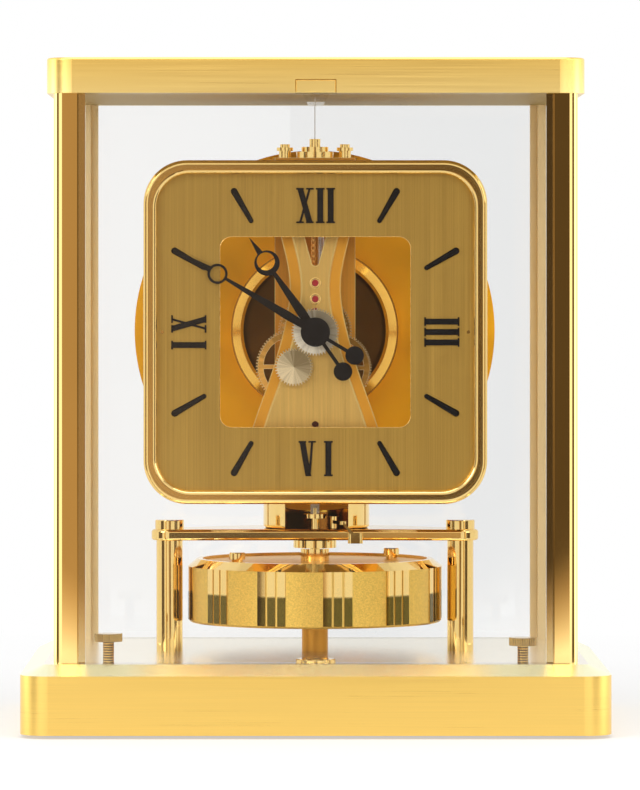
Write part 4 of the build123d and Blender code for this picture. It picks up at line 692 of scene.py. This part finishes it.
class CLOCK_OT_case_finish(bpy.types.Operator):
    """Finish the plinth, the cap, the pillars and the feet"""

    bl_idname = "clock.case_finish"
    bl_label = "Case finish"

    def execute(self, context):
        look = finishes()
        # Above its bevel's foot the plinth is polished and painted pale, a painted highlight.
        dress(brushed("plinth_satin_gold", look.satin_gold, plinth_edge), "base_plinth")
        # Over this span the cap's colour is painted paler downwards, as painted light.
        painted_light_span = (corner("release_button", 0).z, corner("cap", 1).z)
        dress(
            brushed("cap_satin_gold", shade(look.satin_gold, 0.95), None, painted_light_span),
            "cap", "release_button",
        )
        # Behind the middle the pillars' polish is paler, painted light.
        dress(polished("pillar_polish", look.polished_gold, None, 0.0), "corner_pillars")
        # Painted shade: the channels are a darker copy of the pillars' polish, and paler behind the
        # middle as painted light.
        dress(polished("channel_shaded_polish", shade(look.polished_gold, 0.7), None, 0.0), "glass_channels")
        dress(
            polished("fitting_polish", look.polished_gold, 0.09),
            "foot_cup_left", "foot_cup_right", "rear_foot", "level_ring",
        )
        for name in ("levelling_screw_left", "levelling_screw_right"):
            head_bottom = corner(name, 1).z - screw_head_height
            dress(threaded(name + "_gold", look.polished_gold, head_bottom, screw_pitch), name)
        dress(steel_finish("case_steel", (0.55, 0.55, 0.56), 0.3), "base_cover", "case_screws")
        dress(steel_finish("ceiling_bronze", (0.46, 0.32, 0.10), 0.55, 0.5), "ceiling_plate")
        dress(steel_finish("latch_steel", (0.62, 0.62, 0.63), 0.2), "latch_lever")
        return {"FINISHED"}


class CLOCK_OT_glass_finish(bpy.types.Operator):
    """Finish the panes, the clear catch and the level's vial"""

    bl_idname = "clock.glass_finish"
    bl_label = "Glass finish"

    def execute(self, context):
        dress(
            clear_glass("pane_glass", (0.985, 0.99, 0.99), 0.01),
            "front_glass", "rear_glass", "side_glasses",
        )
        dress(clear_glass("catch_plastic", (0.97, 0.96, 0.94), 0.08, 0.86), "glass_catch")
        dress(clear_glass("vial_glass", (0.93, 0.97, 0.80), 0.02), "level_vial")
        return {"FINISHED"}


class CLOCK_OT_bridge_finish(bpy.types.Operator):
    """Finish the columns, the bridge, the housing and the suspension"""

    bl_idname = "clock.bridge_finish"
    bl_label = "Bridge finish"

    def execute(self, context):
        look = finishes()
        dress(
            polished("bridge_polish", look.polished_gold),
            "columns", "column_nuts", "bridge_plate", "bridge_collar", "stop_lever",
        )
        dress(housing_finish("housing_polish"), "escapement_housing")
        dress(amber_lacquer("guide_amber", (0.85, 0.42, 0.07)), "guide_post")
        dress(
            polished("suspension_polish", look.polished_gold, 0.12),
            "suspension_block", "suspension_collet", "suspension_screws", "wire_tube", "movement_posts",
        )
        dress(steel_finish("wire_steel", (0.85, 0.82, 0.75), 0.5, 0.4), "suspension_wire")
        return {"FINISHED"}


class CLOCK_OT_pendulum_finish(bpy.types.Operator):
    """Finish the pendulum wheel and what turns with it"""

    bl_idname = "clock.pendulum_finish"
    bl_label = "Pendulum finish"

    def execute(self, context):
        look = finishes()
        dress(pendulum_finish("pendulum_gold"), "pendulum_wheel")
        dress(
            polished("staff_polish", look.polished_gold, 0.08),
            "pendulum_staff", "poising_screws", "impulse_roller",
        )
        return {"FINISHED"}


class CLOCK_OT_movement_finish(bpy.types.Operator):
    """Finish the drum, the plates and the wheels"""

    bl_idname = "clock.movement_finish"
    bl_label = "Movement finish"

    def execute(self, context):
        look = finishes()
        dress(amber_lacquer("drum_amber", look.amber, 0.2), "drum_front")
        dress(amber_lacquer("bellows_brown", (0.19, 0.10, 0.028)), "bellows", "bellows_plate")
        dress(polished("drum_polish", look.polished_gold, 0.08), "drum_shell")
        dress(polished("ring_polish", (0.93, 0.52, 0.10), 0.16), "bellows_ring")
        dress(edged_plate("front_plate_gilt", look.plate_gilt, 0.8 * MM, plate_border), "front_plate")
        dress(edged_plate("rear_plate_gilt", (0.85, 0.40, 0.06), 0.5 * MM), "rear_plate")
        dress(sunray("hour_wheel_steel", (1.0, 0.93, 0.76), centre_of("hour_wheel")), "hour_wheel")
        gilt = (0.92, 0.50, 0.12)
        wheels = ("minute_arbor", "transfer_wheels", "power_wheel", "mainspring_barrel", "third_wheel")
        for name in wheels:
            dress(sunray(name + "_gilt", gilt, centre_of(name), plate_front), name)
        dress(steel_finish("escape_steel", (0.66, 0.62, 0.55), 0.18), "escape_wheel", "pallet_fork")
        dress(ruby_finish("jewel_ruby"), "jewels")
        return {"FINISHED"}


class CLOCK_OT_dial_finish(bpy.types.Operator):
    """Finish the dial, the bezel, the numerals and the hands"""

    bl_idname = "clock.dial_finish"
    bl_label = "Dial finish"

    def execute(self, context):
        look = finishes()
        dress(dial_finish("dial_brass", look.dial_brass), "dial_plate")
        dress(polished("bezel_polish", look.polished_gold, 0.07), "bezel")
        dress(black_lacquer("numeral_black", look.black), "numerals", "hour_markers")
        dress(black_lacquer("hand_black", look.black), "hour_hand", "minute_hand", "hand_nut")
        return {"FINISHED"}


class CLOCK_OT_level_bubble(bpy.types.Operator):
    """Add the air bubble in the spirit level's vial"""

    bl_idname = "clock.level_bubble"
    bl_label = "Level bubble"

    def execute(self, context):
        radius = context.scene.clock_sizes.bubble_radius
        middle = centre_of("level_vial")
        height = corner("level_vial", 1).z - 0.6 * radius
        flatness = 0.35
        start_piece()
        bpy.ops.mesh.primitive_uv_sphere_add(
            segments=24, ring_count=12, radius=radius, location=(middle.x, middle.y, height),
        )
        piece = context.object
        bpy.ops.object.mode_set(mode="EDIT")
        bpy.ops.mesh.select_all(action="SELECT")
        bpy.ops.transform.resize(value=(1.0, 1.0, flatness))
        settle(piece, "level_bubble", clear_glass("bubble_air", (1.0, 1.0, 0.95), 0.01), "case", 180)
        return {"FINISHED"}


class CLOCK_OT_jewel_settings(bpy.types.Operator):
    """Add the gold setting that holds each jewel of the front plate"""

    bl_idname = "clock.jewel_settings"
    bl_label = "Jewel settings"

    def execute(self, context):
        sizes = context.scene.clock_sizes
        metal = polished("setting_polish", finishes().polished_gold, 0.06)
        edge_width = 0.12 * MM
        start_piece()
        bpy.ops.mesh.primitive_cylinder_add(
            vertices=48, radius=sizes.setting_radius, depth=sizes.setting_height,
            location=(0, plate_front - sizes.setting_height / 2, hub.z + sizes.upper_jewel_rise),
            rotation=(QUARTER_TURN, 0, 0), end_fill_type="NGON",
        )
        first = context.object
        bpy.ops.object.transform_apply(location=True, rotation=True, scale=True)
        edit_faces(first, lambda face: abs(face.normal.y) > 0.9)
        bpy.ops.mesh.inset(thickness=sizes.setting_radius - sizes.setting_bore)
        bpy.ops.mesh.bridge_edge_loops()
        bpy.ops.object.mode_set(mode="OBJECT")
        add_bevel(first, edge_width)
        bpy.ops.object.duplicate(linked=False)
        second = context.object
        second.location = (0, 0, sizes.lower_jewel_rise - sizes.upper_jewel_rise)
        for piece, name in ((first, "jewel_setting_1"), (second, "jewel_setting_2")):
            settle(piece, name, metal, "case")
        return {"FINISHED"}


class CLOCK_OT_winding_strands(bpy.types.Operator):
    """Add the fine chain and the coil spring seen through the front plate's slot"""

    bl_idname = "clock.winding_strands"
    bl_label = "Winding strands"

    def execute(self, context):
        sizes = context.scene.clock_sizes
        foot = hub.z + sizes.strand_foot
        depth = plate_front + sizes.strand_depth
        self.chain(sizes, Vector((sizes.chain_x, depth, foot)))
        self.spring(sizes, Vector((sizes.spring_x, depth, foot)))
        return {"FINISHED"}

    def chain(self, sizes, foot):
        """Oval links, every second one turned a quarter."""
        link = sizes.link_length
        stretch = 1.5
        start_piece()
        bpy.ops.mesh.primitive_torus_add(
            major_segments=20, minor_segments=8, major_radius=link / 3, minor_radius=sizes.strand_wire,
            rotation=(QUARTER_TURN, 0, 0),
        )
        first = bpy.context.object
        bpy.ops.object.transform_apply(location=True, rotation=True, scale=True)
        first.scale = (1, 1, stretch)
        first.location = foot
        bpy.ops.object.duplicate(linked=False)
        second = bpy.context.object
        second.rotation_euler = (0, 0, QUARTER_TURN)
        second.location = foot + Vector((0, 0, link / 2))
        first.select_set(True)
        bpy.ops.object.transform_apply(location=True, rotation=True, scale=True)
        bpy.ops.object.join()
        piece = bpy.context.object
        repeat = piece.modifiers.new("repeat", "ARRAY")
        repeat.use_relative_offset = False
        repeat.use_constant_offset = True
        repeat.constant_offset_displace = (0, 0, link)
        repeat.count = round(sizes.strand_length / link)
        settle(piece, "winding_chain", polished("chain_gilt", (0.95, 0.58, 0.18), 0.25), "case", 180)

    def spring(self, sizes, foot):
        """A close coil of steel wire."""
        pitch = sizes.spring_pitch
        start_piece()
        bpy.ops.mesh.primitive_circle_add(
            vertices=8, radius=sizes.strand_wire, location=(sizes.spring_radius, 0, 0),
            rotation=(QUARTER_TURN, 0, 0),
        )
        piece = bpy.context.object
        bpy.ops.object.transform_apply(location=True, rotation=True, scale=True)
        coil = piece.modifiers.new("coil", "SCREW")
        coil.angle = math.tau
        coil.screw_offset = pitch
        coil.iterations = round(sizes.strand_length / pitch)
        coil.steps = coil.render_steps = 20
        coil.use_merge_vertices = True
        bpy.ops.object.modifier_apply(modifier=coil.name)
        bpy.ops.object.mode_set(mode="EDIT")
        bpy.ops.mesh.select_all(action="SELECT")
        bpy.ops.mesh.fill_holes(sides=0)
        bpy.ops.object.mode_set(mode="OBJECT")
        piece.location = foot
        steel = steel_finish("spring_steel", (0.86, 0.85, 0.82), 0.25)
        settle(piece, "winding_spring", steel, "case", 180)


class CLOCK_OT_window_trim(bpy.types.Operator):
    """Add the bright edge round the dial's window"""

    bl_idname = "clock.window_trim"
    bl_label = "Window trim"

    def execute(self, context):
        sizes = context.scene.clock_sizes
        lift, edge_width = 0.05 * MM, 0.08 * MM
        start_piece()
        bpy.ops.mesh.primitive_plane_add(
            size=sizes.window_size, location=(0, dial_front - lift, hub.z), rotation=(QUARTER_TURN, 0, 0),
        )
        piece = context.object
        bpy.ops.object.transform_apply(location=True, rotation=True, scale=True)
        bpy.ops.object.mode_set(mode="EDIT")
        bpy.ops.mesh.select_all(action="SELECT")
        bpy.ops.mesh.bevel(affect="VERTICES", offset=sizes.window_corner, segments=10)
        bpy.ops.mesh.select_all(action="SELECT")
        bpy.ops.mesh.inset(thickness=sizes.window_trim)
        bpy.ops.mesh.delete(type="FACE")
        bpy.ops.object.mode_set(mode="OBJECT")
        thick = piece.modifiers.new("thick", "SOLIDIFY")
        thick.thickness = sizes.trim_thickness
        thick.offset = 0
        add_bevel(piece, edge_width)
        settle(piece, "window_trim", polished("trim_polish", (0.95, 0.62, 0.2), 0.3), "case")
        return {"FINISHED"}


class CLOCK_OT_stage(bpy.types.Operator):
    """Set the floor, the studio that the polish mirrors, the soft lamps and the camera"""

    bl_idname = "clock.stage"
    bl_label = "Stage"

    def execute(self, context):
        stage = context.scene.clock_stage
        self.floor()
        self.world(context.scene)
        self.lamps(stage.lamp_power)
        self.camera(context.scene, stage)
        context.scene.view_settings.view_transform = "Standard"
        return {"FINISHED"}

    def floor(self):
        """White, with the room's reflection for the polish, and dull under the clock for its shadow."""
        shadow_radius, white_radius = 0.12, 0.5
        band_radius = 0.34
        least_glow = 0.45
        start_piece()
        bpy.ops.mesh.primitive_plane_add(size=12.0, location=(0, 0, -0.2 * MM))
        floor = bpy.context.object
        floor.name = "floor"
        material, tree, shader = finish_base("floor_white", (0.92, 0.92, 0.92), 0.0, 0.7)
        path = node(tree, "LightPath")
        seen = maths(tree, "MAXIMUM", path.outputs["Is Camera Ray"], path.outputs["Is Glossy Ray"])
        seen = maths(tree, "MAXIMUM", seen, path.outputs["Is Transmission Ray"])
        point = place(tree)
        distance = length_of(tree, point)
        far = between_values(tree, distance, shadow_radius, white_radius)
        share = both(tree, seen, maths(tree, "MAXIMUM", far, least_glow))
        direction = node(tree, "VectorMath", {0: point}, operation="NORMALIZE").outputs["Vector"]
        colour, room = self.room(tree, direction)
        room = self.through_glass(tree, path, room)
        outer = between_values(tree, distance, band_radius, white_radius)
        banded = both(tree, outer, path.outputs["Is Glossy Ray"])
        strength = mix(tree, banded, 1.0, room)
        colour = blend_colours(tree, banded, WHITE, colour)
        glow = node(tree, "Emission", {"Color": colour, "Strength": strength})
        mixed = node(tree, "MixShader", {0: share, 1: shader.outputs[0], 2: glow.outputs[0]})
        tree.links.new(mixed.outputs[0], tree.nodes["Material Output"].inputs["Surface"])
        floor.data.materials.append(material)

    def room(self, tree, direction):
        """The room that the polish mirrors: its colour and its brightness in a direction."""
        stops = (
            (0, 0.33), (38, 0.33), (46, 0.03), (66, 0.02), (74, 0.33),
            (84, 0.62), (100, 0.62), (110, 0.33), (150, 0.30), (180, 0.208),
        )
        sky, gain, room_gain = 0.64, 3.0, 1.5
        turned = 4.0
        part = parts_of(tree, direction)
        ahead = maths(tree, "MULTIPLY", part["Y"], -1.0)
        bearing = maths(tree, "DEGREES", maths(tree, "ARCTAN2", part["X"], ahead))
        before_camera = between_values(tree, maths(tree, "ABSOLUTE", bearing), 12.5, 6.5)
        to_right = between_values(tree, bearing, -2.5, 2.0)
        low_enough = between_values(tree, part["Z"], 0.22, 0.12)
        from_front = maths(tree, "ABSOLUTE", maths(tree, "ADD", bearing, turned))
        ramp = node(tree, "ValToRGB", {0: maths(tree, "DIVIDE", from_front, 180.0)})
        elements = ramp.color_ramp.elements
        while len(elements) < len(stops):
            elements.new(0.5)
        for element, (degrees, brightness) in zip(elements, stops):
            element.position = degrees / 180
            element.color = (brightness, brightness, brightness, 1)
        level = between_values(tree, part["Z"], 0.72, 0.45)
        bands = mix(tree, level, sky, maths(tree, "MULTIPLY", ramp.outputs[0], gain))
        wall = both(tree, before_camera, low_enough)
        mirrored = mix(tree, wall, bands, between(tree, to_right, 0.34, 0.07))
        warmth = between_values(tree, mirrored, 0.6, 0.1)
        colour = blend_colours(tree, warmth, WHITE, (1.0, 0.74, 0.48))
        colour = blend_colours(tree, wall, colour, (1.0, 0.70, 0.42))
        return colour, maths(tree, "MULTIPLY", mirrored, room_gain)

    def through_glass(self, tree, path, room):
        """The room's side windows are no brighter than white when they are seen through a pane."""
        plain = maths(tree, "MINIMUM", room, 1.0)
        return mix(tree, path.outputs["Is Transmission Ray"], room, plain)

    def world(self, scene):
        """White to the camera; to the polish, the room."""
        dim, fuller = 0.55, 0.45
        world = bpy.data.worlds.new("studio")
        scene.world = world
        world.use_nodes = True
        tree = world.node_tree
        colour, room = self.room(tree, node(tree, "TexCoord").outputs["Generated"])
        path = node(tree, "LightPath")
        room = self.through_glass(tree, path, room)
        glossy = path.outputs["Is Glossy Ray"]
        seen = maths(tree, "MAXIMUM", path.outputs["Is Camera Ray"], path.outputs["Is Transmission Ray"])
        strength = mix(tree, glossy, maths(tree, "MULTIPLY_ADD", seen, fuller, dim), room)
        background = tree.nodes["Background"]
        tree.links.new(blend_colours(tree, glossy, WHITE, colour), background.inputs["Color"])
        tree.links.new(strength, background.inputs["Strength"])

    def lamps(self, power):
        """Three soft lamps, each with its place, size and share of the power, turned to the clock."""
        aim_height = 0.12
        for name, place_at, size, share in (
            ("top_lamp", (0.0, -0.35, 1.3), 1.1, 1.0),
            ("left_lamp", (-1.3, -1.2, 0.9), 0.8, 0.9),
            ("right_lamp", (1.4, -1.1, 0.7), 0.8, 0.6),
        ):
            bpy.ops.object.light_add(type="AREA", location=place_at)
            lamp = bpy.context.object
            lamp.name = name
            lamp.data.size = size
            lamp.data.energy = power * share
            aim = Vector((0, 0, aim_height)) - lamp.location
            lamp.rotation_euler = aim.to_track_quat("-Z", "Y").to_euler()

    def camera(self, scene, stage):
        """The photograph's camera, level, with its frame shifted to the vanishing point."""
        image_width, image_height = 640, 790
        bpy.ops.object.camera_add(location=stage.camera_place, rotation=(QUARTER_TURN, 0, 0))
        camera = bpy.context.object
        camera.name = "photo_camera"
        camera.data.sensor_fit = "AUTO"
        camera.data.sensor_width = 36.0
        camera.data.lens = stage.focal_pixels / image_height * camera.data.sensor_width
        camera.data.shift_x = (image_width / 2 - stage.vanishing_x) / image_height
        camera.data.shift_y = -(image_height / 2 - stage.vanishing_y) / image_height
        camera.data.clip_end = 20.0
        scene.camera = camera


class CLOCK_PT_panel(bpy.types.Panel):
    """The clock's operators and settings in the sidebar"""

    bl_idname = "CLOCK_PT_panel"
    bl_label = "Atmospheric clock"
    bl_space_type = "VIEW_3D"
    bl_region_type = "UI"
    bl_category = "Clock"

    def draw(self, context):
        for operator in operators:
            self.layout.operator(operator.bl_idname)
        for group in (context.scene.clock_finishes, context.scene.clock_sizes, context.scene.clock_stage):
            box = self.layout.box()
            for name in group.__annotations__:
                box.prop(group, name)


groups = (ClockFinishes, ClockSizes, ClockStage)
operators = (
    CLOCK_OT_case_finish,
    CLOCK_OT_glass_finish,
    CLOCK_OT_bridge_finish,
    CLOCK_OT_pendulum_finish,
    CLOCK_OT_movement_finish,
    CLOCK_OT_dial_finish,
    CLOCK_OT_level_bubble,
    CLOCK_OT_jewel_settings,
    CLOCK_OT_winding_strands,
    CLOCK_OT_window_trim,
    CLOCK_OT_stage,
)


def register():
    for made in (*groups, *operators, CLOCK_PT_panel):
        bpy.utils.register_class(made)
    bpy.types.Scene.clock_finishes = bpy.props.PointerProperty(type=ClockFinishes)
    bpy.types.Scene.clock_sizes = bpy.props.PointerProperty(type=ClockSizes)
    bpy.types.Scene.clock_stage = bpy.props.PointerProperty(type=ClockStage)


def unregister():
    del bpy.types.Scene.clock_finishes
    del bpy.types.Scene.clock_sizes
    del bpy.types.Scene.clock_stage
    for made in reversed((*groups, *operators, CLOCK_PT_panel)):
        bpy.utils.unregister_class(made)


def main():
    register()
    for operator in operators:
        family, action = operator.bl_idname.split(".")
        getattr(getattr(bpy.ops, family), action)()


if __name__ == "__main__":
    main()
